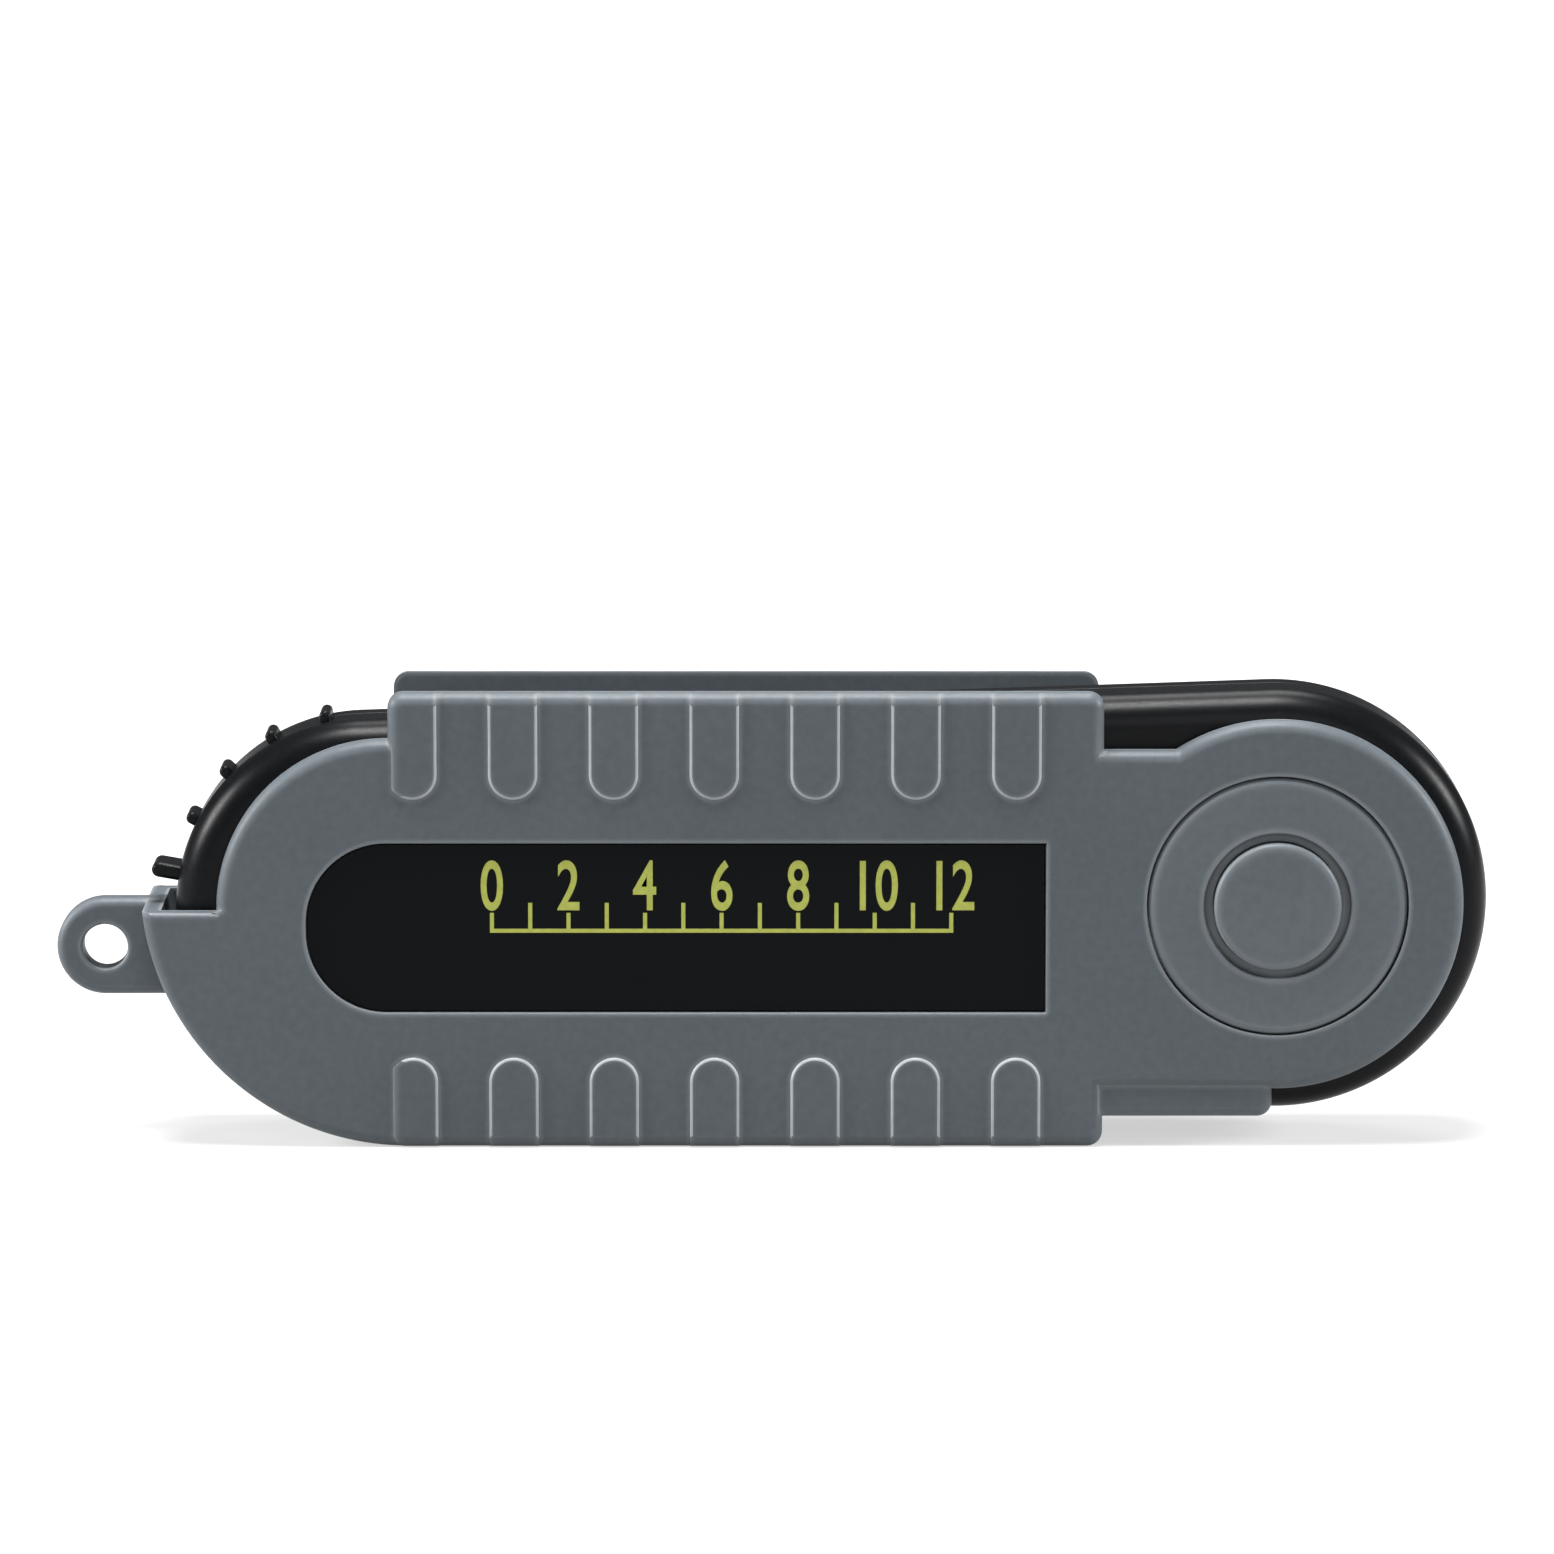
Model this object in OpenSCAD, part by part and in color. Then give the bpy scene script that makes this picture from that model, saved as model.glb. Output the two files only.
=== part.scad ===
// Pocket folding anemometer, closed. A meter with a vane wheel at one end
// swings out of a two-plate cover like the blade of a jack knife.
// Millimetres. The plan is drawn with the swing axis at its centre, x to the
// right, y up and z from the rear face to the front face, then stood upright.

/* [Cover plates] */
// Thickness of each cover plate
plate_t = 2.1; // [1.6:0.1:3]
// Gap between a cover plate and the meter
swing_gap = 0.4; // [0.3:0.05:0.8]
// Rounding of the outer edges of the plates
edge_r = 1.2; // [0.6:0.1:1.5]
// Plan radius of the flange corners
flange_corner_r = 1.5; // [1.5:0.1:3]
// Distance from the swing axis to the near end of the flanges
flange_start = 17.3; // [16:0.1:19]
// Height of the upper flange over the widest part of the meter
flange_rise = 0.2; // [0:0.1:1.5]
// Distance of the flanges' far end from the vane axis
flange_inset = 2.4; // [1:0.1:5]
// How far the round end of a plate stays inside the meter's round end
round_end_inset = 2.6; // [1.5:0.1:3.5]
// Drop from the top of the round end to the floor of the upper notch
notch_drop = 3.0; // [2:0.1:5]
// Length of the low lip beside the lower flange
lip_len = 16.9; // [12:0.1:17]
// How far the low lip reaches below the round end
lip_drop = 2.8; // [1:0.1:3]
// How far the face of the low lip lies under the plate face
lip_recess = 0.4; // [0.2:0.1:0.8]
// Radius of the upper left corner of the plates
nose_r = 17.0; // [15:0.1:17.6]
// Height of the centre of the upper left corner
nose_y = -0.4; // [-1:0.1:0.2]
// Height of the ledge where the end wall stops
ledge_y = -0.7; // [-2:0.1:-0.5]
// Distance of the lower left corner's centre from the vane axis
heel_dx = 4.2; // [3:0.1:5]
// Thickness of the end wall
end_wall_t = 1.8; // [1.4:0.1:2.2]
// Gap between the end wall and the meter
end_gap = 0.4; // [0.3:0.05:0.6]
// Thickness of the spine along the bottom
spine_t = 2.9; // [2.6:0.1:4]
// Gap between the spine and the meter
spine_gap = 0.3; // [0.3:0.05:0.6]
// Width of the tongue that lines up the two cover halves
tongue_w = 0.5; // [0.4:0.1:0.6]
// Height of the tongue
tongue_h = 0.7; // [0.4:0.1:1]

/* [Grip ribs on the cover] */
// Number of ribs along each edge
rib_count = 7; // [3:1:8]
// Width of a rib
rib_w = 4.9; // [3:0.1:6]
// Length of the upper ribs
rib_len_top = 10.6; // [7:0.1:12]
// Length of the lower ribs
rib_len_bottom = 9.1; // [7:0.1:10]
// Height of the ribs over the plate
rib_h = 0.3; // [0.2:0.05:0.6]
// Distance from the last rib to the near end of the flange
rib_margin = 6.2; // [4:0.1:12]

/* [Front label] */
// How far the label reaches past the vane axis
label_past = 5.8; // [3:0.1:8]
// Distance from the near end of the flange to the label
label_margin = 5.7; // [4:0.1:12]
// Height of the label pocket
label_h = 17.0; // [12:0.1:18]
// Height of the label's centre line
label_y = -2.2; // [-3:0.1:0]
// Radius of the label's left corners
label_r = 8.0; // [4:0.1:8.4]
// Depth of the label pocket
label_depth = 1.1; // [0.8:0.1:1.3]
// Thickness of the label plate
label_t = 0.6; // [0.4:0.1:0.7]
// Gap round the label plate
label_gap = 0.1; // [0.05:0.05:0.2]

/* [Lanyard eye] */
// Outer radius of the eye
eye_r = 4.85; // [4:0.05:6]
// Radius of the hole in the eye
eye_hole_r = 2.25; // [1.5:0.05:3]
// Thickness of the eye
eye_t = 3.5; // [2.5:0.1:5]
// Distance from the end wall to the hole's centre
eye_reach = 4.3; // [3.5:0.1:8]
// Rounding of the eye's edges
eye_edge_r = 0.8; // [0.4:0.1:1.2]

/* [Pivot] */
// Distance from the edge of the meter's round end to the hole in each plate
pivot_rim = 8.1; // [7.6:0.1:9]
// Running clearance between a plate and its pivot disc
pivot_clear = 0.1; // [0.05:0.01:0.1]
// Thickness of the front pivot disc
disc_t = 1.65; // [1.3:0.05:1.7]
// Rounding of the discs' rims
disc_edge_r = 0.35; // [0.2:0.05:0.6]
// Distance from the pivot posts to the groove round the button
groove_gap = 0.3; // [0.2:0.1:0.6]
// Width of the groove
groove_w = 0.95; // [0.8:0.05:1.2]
// Depth of the groove
groove_depth = 0.9; // [0.5:0.1:1]
// Height of the button over the pivot disc
button_proud = 0.5; // [0.3:0.1:1]
// Clearance round the button and the keys
button_clear = 0.1; // [0.08:0.01:0.2]
// Travel of the release button
button_travel = 0.8; // [0.5:0.1:1]
// Radius of the button's stem
stem_r = 3.0; // [2:0.1:3.2]
// Distance from the edge of the meter's round end to the brake plate
brake_rim = 5.1; // [4.6:0.1:5.6]
// Thickness of the brake plate
brake_t = 0.8; // [0.6:0.1:1]
// Gap between the brake plate and the cover at rest
brake_gap = 0.05; // [0.03:0.01:0.1]
// Distance from the hole in the plates to the circle of the three pivot posts
post_inset = 3.4; // [3:0.1:4]
// Radius of a pivot post
post_r = 2.0; // [1.8:0.1:2.2]
// Mean radius of the release spring
spring_r = 4.1; // [3.9:0.05:4.3]
// Wire radius of the release spring
spring_wire_r = 0.3; // [0.2:0.05:0.35]
// Turns of the release spring
spring_turns = 4; // [3:1:5]

/* [Meter case] */
// Radius of the meter's round end at the pivot
pivot_end_r = 21.1; // [20.5:0.1:22]
// Height of the vane axis against the swing axis
head_y = -1.0; // [-1.5:0.1:0]
// Wall thickness of the case
case_wall = 1.6; // [1.2:0.1:2]
// Thickness of the front face of the case
front_wall = 2.0; // [1.8:0.1:2.6]
// Rounding of the case's edges
case_edge_r = 3.4; // [2:0.1:3.6]
// Width of the wall round the duct, out to the case's edge
head_rim = 4.6; // [4.4:0.1:6]
// Width of the case gasket
gasket_w = 0.7; // [0.5:0.1:0.8]
// Depth of the case gasket
gasket_t = 0.5; // [0.4:0.1:0.8]
// Number of small grip ribs on the end of the case
end_rib_count = 4; // [2:1:5]
// Height of the small grip ribs
end_rib_h = 1.1; // [0.6:0.1:1.5]
// Height of the thumb catch
catch_h = 2.8; // [2:0.1:3.5]
// Length of the grip ribs and the thumb catch across the case
end_rib_len = 5.4; // [4:0.1:6]
// Direction of the first grip rib, seen from the vane axis
end_rib_angle = 102; // [95:1:106]
// Angle from one grip rib to the next
end_rib_step = 17; // [14:1:17]
// Width of the grip ribs and the thumb catch
end_rib_w = 1.2; // [0.8:0.1:1.6]

/* [Display and keys] */
// Length of the display frame
lcd_len = 31.0; // [26:0.5:36]
// Height of the display frame
lcd_h = 25.0; // [18:0.5:25]
// Thickness of the display glass
lcd_t = 2.0; // [1.6:0.1:2.4]
// Height of the display over the circuit board
lcd_lift = 1.8; // [1.4:0.1:2.4]
// Wall of the display frame
lcd_frame_wall = 0.9; // [0.6:0.1:1.2]
// Thickness of the display window
window_t = 0.9; // [0.7:0.1:1]
// Radius of a key
key_r = 3.4; // [2.6:0.1:3.6]
// Travel of a key
key_travel = 0.5; // [0.3:0.05:0.6]
// Height of a key over the case
key_proud = 0.1; // [0:0.05:0.15]
// Distance from the pivot pocket to the row of keys
key_offset = 8.8; // [8.8:0.1:12]
// Distance from the row of keys to the display frame
lcd_offset = 8.0; // [7.8:0.1:12]

/* [Vane duct] */
// Outer radius of the vane ring
vane_ring_r = 14.3; // [13.5:0.1:15]
// Wall of the vane ring
vane_ring_wall = 1.1; // [0.8:0.1:1.5]
// Length of the vane ring along its axis
vane_ring_len = 11.8; // [10.5:0.1:12.2]
// Clearance between the vane ring and the case
ring_clear = 0.1; // [0.05:0.01:0.15]
// Wall of the duct in the case
duct_wall = 1.4; // [1:0.1:1.6]
// Gap between the duct wall and the display frame
sensor_gap = 9.4; // [9:0.1:14]
// Thickness of the spider arms
spider_t = 1.4; // [1:0.1:1.8]
// Gap between the blade tips and the vane ring
tip_gap = 0.5; // [0.3:0.1:1]
// Number of blades
blade_count = 8; // [4:1:10]
// Thickness of a blade
blade_t = 0.6; // [0.4:0.05:0.8]
// Pitch angle of the blades
blade_angle = 45; // [30:1:55]
// Length of the impeller hub
hub_len = 6.6; // [5:0.1:7]
// Radius of the impeller hub
hub_r = 2.6; // [2.4:0.1:3.5]
// Radius of the impeller shaft
shaft_r = 0.5; // [0.4:0.05:0.6]
// Radius of a jewel bearing
jewel_r = 1.3; // [1.1:0.1:1.6]
// Running clearance of the shaft in its bearings
shaft_clear = 0.03; // [0.02:0.01:0.05]

/* [Battery and board] */
// Radius of the coin cell
cell_r = 10.0; // [8:0.1:10.2]
// Thickness of the coin cell
cell_t = 3.2; // [2.5:0.1:3.4]
// Thickness of the battery door's face
door_t = 1.2; // [1:0.1:1.6]
// Space for the contact spring over the cell
contact_space = 1.95; // [1.7:0.05:2.6]
// Thickness of the circuit board
board_t = 1.0; // [0.8:0.1:1.6]
// Distance from the display frame to the long edges of the board
board_margin = 2; // [1.5:0.1:2.5]
// Distance from the display frame to the end of the board beside the duct
sensor_shelf = 12.5; // [11:0.1:14]
// Width of the processor chip
chip_w = 7; // [5:0.1:10]
// Thickness of the processor chip
chip_t = 1.2; // [0.8:0.1:1.6]

/* [Hidden] */
$fn = 96;

cover_grey = "#5c6267";
case_black = "#17181b";
steel = "#b9bcc0";
gold = "#c9a44a";
rubber = "#2a2c2e";
eps = 0.01;
far = 300;
sink = 0.5;
tip_space = 0.3;
slot_w = 0.4;
slot_depth = 0.35;
cross_depth = 0.6;
leaf_t = 0.3;

// Levels through the thickness, counted from the rear face of the cover
meter_z0 = plate_t + swing_gap;
cell_z0 = meter_z0 + door_t + 0.05;
board_z0 = cell_z0 + cell_t + contact_space;
board_z1 = board_z0 + board_t;
lcd_z0 = board_z1 + lcd_lift;
lcd_z1 = lcd_z0 + lcd_t;
face_gap = 0.2;
inner_z1 = lcd_z1 + face_gap;
meter_z1 = inner_z1 + front_wall;
inner_z0 = meter_z0 + case_wall;
meter_mid = (meter_z0 + meter_z1) / 2;
split_z = board_z0 - 0.5;
cover_t = meter_z1 + swing_gap + plate_t;
cover_mid = cover_t / 2;
plate_z0 = cover_t - plate_t;

// Pivot
pivot_hole_r = pivot_end_r - pivot_rim;
disc_r = pivot_hole_r - pivot_clear;
post_circle_r = pivot_hole_r - post_inset;
groove_r = post_circle_r - post_r - groove_gap;
button_r = groove_r - groove_w;
brake_r = pivot_end_r - brake_rim;
disc_z0 = cover_t - disc_t;
brake_z1 = plate_z0 - brake_gap;
brake_z0 = brake_z1 - brake_t;
pocket_clear = 0.3;
pocket_r = brake_r + pocket_clear;
pocket_floor = brake_z0 - button_travel - 0.25;
pocket_skin = 1.5;
pocket_wall_r = pocket_r + 1.4;
cup_r = spring_r + spring_wire_r + 0.7;
cup_wall = 1.3;
cup_floor = split_z + 1.4;
stem_end = cup_floor + button_travel + 0.3;
button_edge_r = 0.5;
post_clear = 0.1;
post_boss_r = post_r + post_clear + 1.3;
post_angles = [90, 210, 330];
pivot_screw_r = 1.0;
pivot_head_r = 1.9;
pivot_head_t = 1.2;
pivot_screw_end = pocket_floor - 1.5;

// Meter, from the swing axis to the vane axis
key_flange_r = key_r + 0.7;
board_half = lcd_h / 2 + board_margin;
key_pitch = board_half - key_flange_r;
key_flange_t = 0.9;
key_z0 = inner_z1 - key_flange_t - 0.1;
key_edge_r = 0.3;
mat_t = 0.9;
mat_gap = 0.15;
keys_x = -(pocket_wall_r + key_offset);
lcd_right = keys_x - lcd_offset;
lcd_left = lcd_right - lcd_len;
lcd_x = (lcd_left + lcd_right) / 2;
bore_r = vane_ring_r + ring_clear;
tube_r = bore_r + duct_wall;
head_x = lcd_left - sensor_gap - tube_r;
head_r = bore_r + head_rim;

// Cover outline
plate_end_r = pivot_end_r - round_end_inset;
flange_top = max(pivot_end_r, head_r + head_y) + flange_rise;
spine_top = -max(pivot_end_r, head_r - head_y) - spine_gap;
spine_bottom = spine_top - spine_t;
flange_left = head_x + flange_inset;
flange_right = -flange_start;
notch_y = plate_end_r - notch_drop;
lip_right = flange_right + lip_len;
lip_y = -(plate_end_r + lip_drop);
nose_x = flange_left - 0.1;
heel_clear = head_r + end_gap + end_wall_t;
heel_b = head_y - spine_bottom;
heel_r = (heel_dx * heel_dx + heel_b * heel_b - heel_clear * heel_clear) / (2 * (heel_b - heel_clear));
heel_x = head_x + heel_dx;
heel_y = spine_bottom + heel_r;
heel_in_r = heel_r - end_wall_t;
heel_edge_x = heel_x - sqrt(heel_r * heel_r - pow(heel_y - ledge_y, 2));
origin_x = (flange_left + flange_right) / 2;
eye_x = heel_edge_x - eye_reach;
eye_y = ledge_y - eye_r;

// Cover details
rib_pitch = (flange_right - flange_left - rib_margin - rib_w) / (rib_count - 1);
label_left = head_x - label_past;
label_right = flange_right - label_margin;
label_top = label_y + label_h / 2;
label_bottom = label_y - label_h / 2;
cover_screw_r = 0.8;
cover_head_r = 1.2;
cover_head_t = 0.9;
cover_head_z = 0.5;
cover_screw_y = spine_top - 0.45 - cover_screw_r;
cover_screw_x = [flange_right - 4, origin_x, flange_left + 4];
cover_screw_end = cover_mid + 4.5;

// Case fasteners and posts
case_screw_r = 0.9;
case_head_r = 1.7;
case_head_t = 1.1;
case_boss_r = 2.6;
case_screw_end = inner_z1 - 1.2;
key_screw_dx = 5.5;
key_screw_y = board_half + 0.7;
lcd_screw_dx = 4.7;
lcd_screw_y = lcd_h / 2 + 1.1;
case_screws_at = [
    [keys_x + key_screw_dx, key_screw_y], [keys_x + key_screw_dx, -key_screw_y],
    [lcd_left - lcd_screw_dx, lcd_screw_y], [lcd_left - lcd_screw_dx, -lcd_screw_y]];
board_post_r = 1.4;
lcd_post_dx = 1.9;
lcd_post_y = lcd_h / 2 + 0.5;
duct_post_dx = 10;
duct_post_dy = 9.5;
board_posts_at = [
    [lcd_right + lcd_post_dx, lcd_post_y], [lcd_right + lcd_post_dx, -lcd_post_y],
    [lcd_left - duct_post_dx, head_y - duct_post_dy]];
grille_dx = 10.5;
grille_dy = 11.2;
grille_at = [lcd_left - grille_dx, head_y + grille_dy];
grille_r = 2.2;
board_clear = 0.3;
board_left = lcd_left - sensor_shelf;

// Display
window_margin = 1.5;
window_reach = window_margin - 0.1;
glass_inset = lcd_frame_wall + 0.1;
view_inset = 2.6;
strip_w = 1.6;
strip_inset = lcd_frame_wall + 1;

// Battery
cell_clear = 0.25;
leaf_len = 12;
leaf_w = 4;
leg_w = 1;
clip_w = 6;
clip_lap = 1.6;
neck_r0 = cell_r + cell_clear;
neck_r1 = neck_r0 + 0.9;
door_clear = 0.1;
ring_r0 = neck_r1 + door_clear;
lug_r = ring_r0 + 0.75;
lug_w = 5;
seal_r = 0.3;
seal_mid_r = lug_r + 0.6;
door_r = seal_mid_r + 0.7;
ring_r1 = door_r + 1.2;
ring_z1 = meter_z0 + door_t + 1.9;
lug_t = 0.7;
coin_slot_len = 14;
coin_slot_w = 1.6;
coin_slot_depth = 0.7;
door_angles = [0, 120, 240];
neck_z1 = ring_z1 + 0.1 + lug_t;

// Vane
vane_z0 = meter_mid - vane_ring_len / 2;
vane_z1 = vane_z0 + vane_ring_len;
vane_in_r = vane_ring_r - vane_ring_wall;
blade_r = vane_in_r - tip_gap;
spider_w = 1.3;
spider_hub_r = jewel_r + 0.9;
hub_z0 = meter_mid - hub_len / 2;
hub_z1 = hub_z0 + hub_len;
blade_w = hub_len * 1.24;
shaft_z0 = vane_z0 + 0.5;
shaft_z1 = vane_z1 - 0.5;
magnet_r = 1.8;
magnet_t = 1.4;

// Stands the plan upright: front face to -Y, spine down on Z = 0
module place() {
    translate([-origin_x, cover_mid, -spine_bottom]) rotate([90, 0, 0]) children();
}

// Turns a piece drawn for the front of the cover into its rear twin
module rear_twin() {
    translate([0, 0, cover_t]) mirror([0, 0, 1]) children();
}

// Disc whose upper rim is rounded
module round_disc(r, t, e) {
    rotate_extrude() {
        square([r - e, t]);
        square([r, t - e]);
        intersection() {
            translate([r - e, t - e]) circle(e);
            square([r, t]);
        }
    }
}

// Section of a bar from a to b whose upper edges are rounded
module edge_profile(a, b, t, e) {
    translate([a + e, 0]) square([b - a - 2 * e, t]);
    translate([a, 0]) square([b - a, t - e]);
    intersection() {
        for (c = [a + e, b - e]) translate([c, t - e]) circle(e);
        translate([a, 0]) square([b - a, t]);
    }
}

// Box whose upper edges are rounded and whose plan corners are mitred
module round_bar(x0, x1, y0, y1, t, e) {
    intersection() {
        translate([x0, 0, 0]) rotate([90, 0, 90]) linear_extrude(x1 - x0) edge_profile(y0, y1, t, e);
        translate([0, y1, 0]) rotate([90, 0, 0]) linear_extrude(y1 - y0) edge_profile(x0, x1, t, e);
    }
}

// Box whose upper edges and plan corners are rounded
module round_box(x0, x1, y0, y1, t, e, c) {
    translate([x0 + c, 0, 0]) rotate([90, 0, 90]) linear_extrude(x1 - x0 - 2 * c) edge_profile(y0, y1, t, e);
    translate([0, y1 - c, 0]) rotate([90, 0, 0]) linear_extrude(y1 - y0 - 2 * c) edge_profile(x0, x1, t, e);
    for (x = [x0 + c, x1 - c], y = [y0 + c, y1 - c]) translate([x, y, 0]) round_disc(c, t, e);
}

// Flat shape of the meter, drawn in by d
module meter_shape(d) {
    hull() {
        circle(pivot_end_r - d, $fn = 48);
        translate([head_x, head_y]) circle(head_r - d, $fn = 48);
    }
}

// Solid shape of the meter, t thick, with its upper edge rounded
module meter_solid(t) {
    hull() {
        round_disc(pivot_end_r, t, case_edge_r, $fn = 48);
        translate([head_x, head_y, 0]) round_disc(head_r, t, case_edge_r, $fn = 48);
    }
}

// Puts children at each pivot post
module at_posts() {
    for (a = post_angles) rotate(a) translate([post_circle_r, 0, 0]) children();
}

// Outer block of a cover plate, from z = 0 up to t
module cover_block(t) {
    round_disc(plate_end_r, t, edge_r);
    round_bar(flange_right - 3, -5, -plate_end_r, notch_y, t, edge_r);
    round_box(flange_left, flange_right, spine_bottom, flange_top, t, edge_r, flange_corner_r);
    round_box(flange_right - 4, lip_right, lip_y, -plate_end_r + 4, t - lip_recess, edge_r - 0.3,
        flange_corner_r);
    translate([nose_x, nose_y, 0]) round_disc(nose_r, t, edge_r);
    intersection() {
        translate([heel_x, heel_y, 0]) round_disc(heel_r, t, edge_r);
        round_bar(-far, heel_x + 5, -far, ledge_y, t, edge_r);
    }
}

// Inside of the cover: open everywhere but along the spine and the end wall
module cover_cavity() {
    difference() {
        translate([-far, -far]) square(2 * far);
        translate([-far, -far]) square([far + flange_right, far + ledge_y]);
    }
    cover_inside();
}

// Flat shape of the space that the walls of the cover close in
module cover_inside() {
    translate([heel_x, spine_top]) square([far, far]);
    intersection() {
        translate([heel_x, heel_y]) circle(heel_in_r);
        translate([-far, spine_top]) square([2 * far, far]);
    }
}

// One half of the cover, from the middle plane to the outer face
module cover_half() {
    difference() {
        translate([0, 0, cover_mid]) cover_block(cover_t - cover_mid);
        translate([0, 0, cover_mid - 1]) linear_extrude(plate_z0 - cover_mid + 1) cover_cavity();
        translate([0, 0, plate_z0 - 1]) cylinder(r = pivot_hole_r, h = plate_t + 2);
    }
    intersection() {
        translate([0, 0, cover_mid])
            round_box(flange_left, flange_right, spine_bottom, flange_top, cover_t - cover_mid + rib_h,
                edge_r, flange_corner_r);
        translate([0, 0, cover_t - edge_r]) linear_extrude(edge_r + rib_h + 1) rib_shapes();
    }
}

// Flat shapes of the grip ribs along both edges
module rib_shapes() {
    for (i = [0 : rib_count - 1]) {
        x = flange_left + rib_w / 2 + i * rib_pitch;
        translate([x, flange_top - rib_len_top + rib_w / 2]) rib_shape(1);
        translate([x, spine_bottom + rib_len_bottom - rib_w / 2]) rib_shape(-1);
    }
}

// One rib with a round inner end
module rib_shape(side) {
    circle(rib_w / 2);
    len = side > 0 ? rib_len_top : rib_len_bottom;
    translate([-rib_w / 2, side > 0 ? 0 : -len]) square([rib_w, len]);
}

// Flat shape of the label, drawn in by d
module label_shape(d) {
    for (y = [label_bottom + label_r, label_top - label_r])
        translate([label_left + label_r, y]) circle(label_r - d);
    translate([label_left + label_r, label_bottom + d])
        square([label_right - label_left - label_r - d, label_h - 2 * d]);
    translate([label_left + d, label_bottom + label_r]) square([label_r, label_h - 2 * label_r]);
}

// Flat shapes of the tongues in the spine's wall, between the screws
module tongue_shape(w) {
    for (i = [0, 1])
        translate([cover_screw_x[i + 1] + 2, spine_bottom + spine_t / 2 - w / 2])
            square([cover_screw_x[i] - cover_screw_x[i + 1] - 4, w]);
}

module front_cover() {
    color(cover_grey) place() difference() {
        cover_half();
        translate([0, 0, cover_t - label_depth]) linear_extrude(label_depth + 1) label_shape(0);
        translate([0, 0, cover_mid - eps]) linear_extrude(tongue_h + 0.1) tongue_shape(tongue_w + 0.1);
        for (x = cover_screw_x) translate([x, cover_screw_y, cover_mid - 1])
            cylinder(r = cover_screw_r, h = cover_screw_end + tip_space - cover_mid + 1);
    }
}

module rear_cover() {
    color(cover_grey) place() {
        difference() {
            union() {
                rear_twin() cover_half();
                lanyard_eye();
                translate([0, 0, cover_mid - 1]) linear_extrude(1 + tongue_h) tongue_shape(tongue_w);
            }
            translate([eye_x, eye_y, 0]) cylinder(r = eye_hole_r, h = cover_t);
            for (x = cover_screw_x) translate([x, cover_screw_y, -1]) {
                cylinder(r = cover_screw_r + 0.1, h = cover_mid + 2);
                cylinder(r = cover_head_r + 0.05, h = 1 + cover_head_z + cover_head_t);
            }
        }
    }
}

// Eye on the end wall, its front face on the middle plane
module lanyard_eye() {
    difference() {
        translate([0, 0, cover_mid - eye_t]) intersection() {
            eye_layer(eye_t);
            translate([0, 0, eye_t]) mirror([0, 0, 1]) eye_layer(eye_t);
        }
        translate([heel_x, heel_y, 0]) cylinder(r = heel_in_r + end_wall_t / 2, h = cover_t);
    }
}

module eye_layer(t) {
    translate([eye_x, eye_y, 0]) round_disc(eye_r, t, eye_edge_r);
    translate([eye_x, 0, 0]) rotate([90, 0, 90]) linear_extrude(heel_x - eye_x)
        edge_profile(eye_y - eye_r, eye_y + eye_r, t, eye_edge_r);
}

module front_label() {
    color("#101214") place()
        translate([0, 0, cover_t - label_depth]) linear_extrude(label_t) label_shape(label_gap);
}

module cover_screws() {
    color(steel) place() for (x = cover_screw_x) translate([x, cover_screw_y, cover_head_z]) {
        difference() {
            cylinder(r = cover_head_r, h = cover_head_t);
            translate([-slot_w / 2, -far, -eps]) cube([slot_w, 2 * far, slot_depth]);
        }
        cylinder(r = cover_screw_r, h = cover_screw_end - cover_head_z);
    }
}

module front_pivot_disc() {
    color(cover_grey) place() difference() {
        union() {
            translate([0, 0, disc_z0]) round_disc(disc_r, disc_t, disc_edge_r);
            at_posts() translate([0, 0, split_z]) cylinder(r = post_r, h = disc_z0 - split_z + sink);
        }
        translate([0, 0, disc_z0 - 1]) cylinder(r = button_r + button_clear, h = disc_t + 2);
        translate([0, 0, cover_t - groove_depth]) cylinder(r = groove_r, h = groove_depth + 1);
        at_posts() translate([0, 0, split_z - 1])
            cylinder(r = pivot_screw_r, h = pivot_screw_end + tip_space - split_z + 1);
    }
}

module rear_pivot_disc() {
    color(cover_grey) place() difference() {
        rear_twin() translate([0, 0, cover_t - meter_z0]) round_disc(disc_r, meter_z0, disc_edge_r);
        translate([0, 0, -1]) difference() {
            cylinder(r = groove_r, h = 1 + groove_depth);
            cylinder(r = button_r, h = 1 + groove_depth);
        }
        at_posts() translate([0, 0, -1]) {
            cylinder(r = pivot_screw_r + 0.1, h = meter_z0 + 2);
            cylinder(r = pivot_head_r + 0.1, h = 1.1 + pivot_head_t);
        }
    }
}

// Cross recess of a screw whose head looks down
module cross_recess(r) {
    for (a = [0, 90]) rotate(a) translate([-r, -slot_w / 2, -eps]) cube([2 * r, slot_w, cross_depth]);
}

module pivot_screws() {
    color(steel) place() at_posts() translate([0, 0, 0.1]) {
        difference() {
            cylinder(r = pivot_head_r, h = pivot_head_t);
            cross_recess(pivot_head_r - 0.6);
        }
        cylinder(r = pivot_screw_r, h = pivot_screw_end);
    }
}

module release_button() {
    color(cover_grey) place() {
        translate([0, 0, brake_z1]) round_disc(button_r, cover_t + button_proud - brake_z1, button_edge_r);
        translate([0, 0, stem_end]) cylinder(r = stem_r, h = brake_z1 - stem_end + sink);
    }
}

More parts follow.
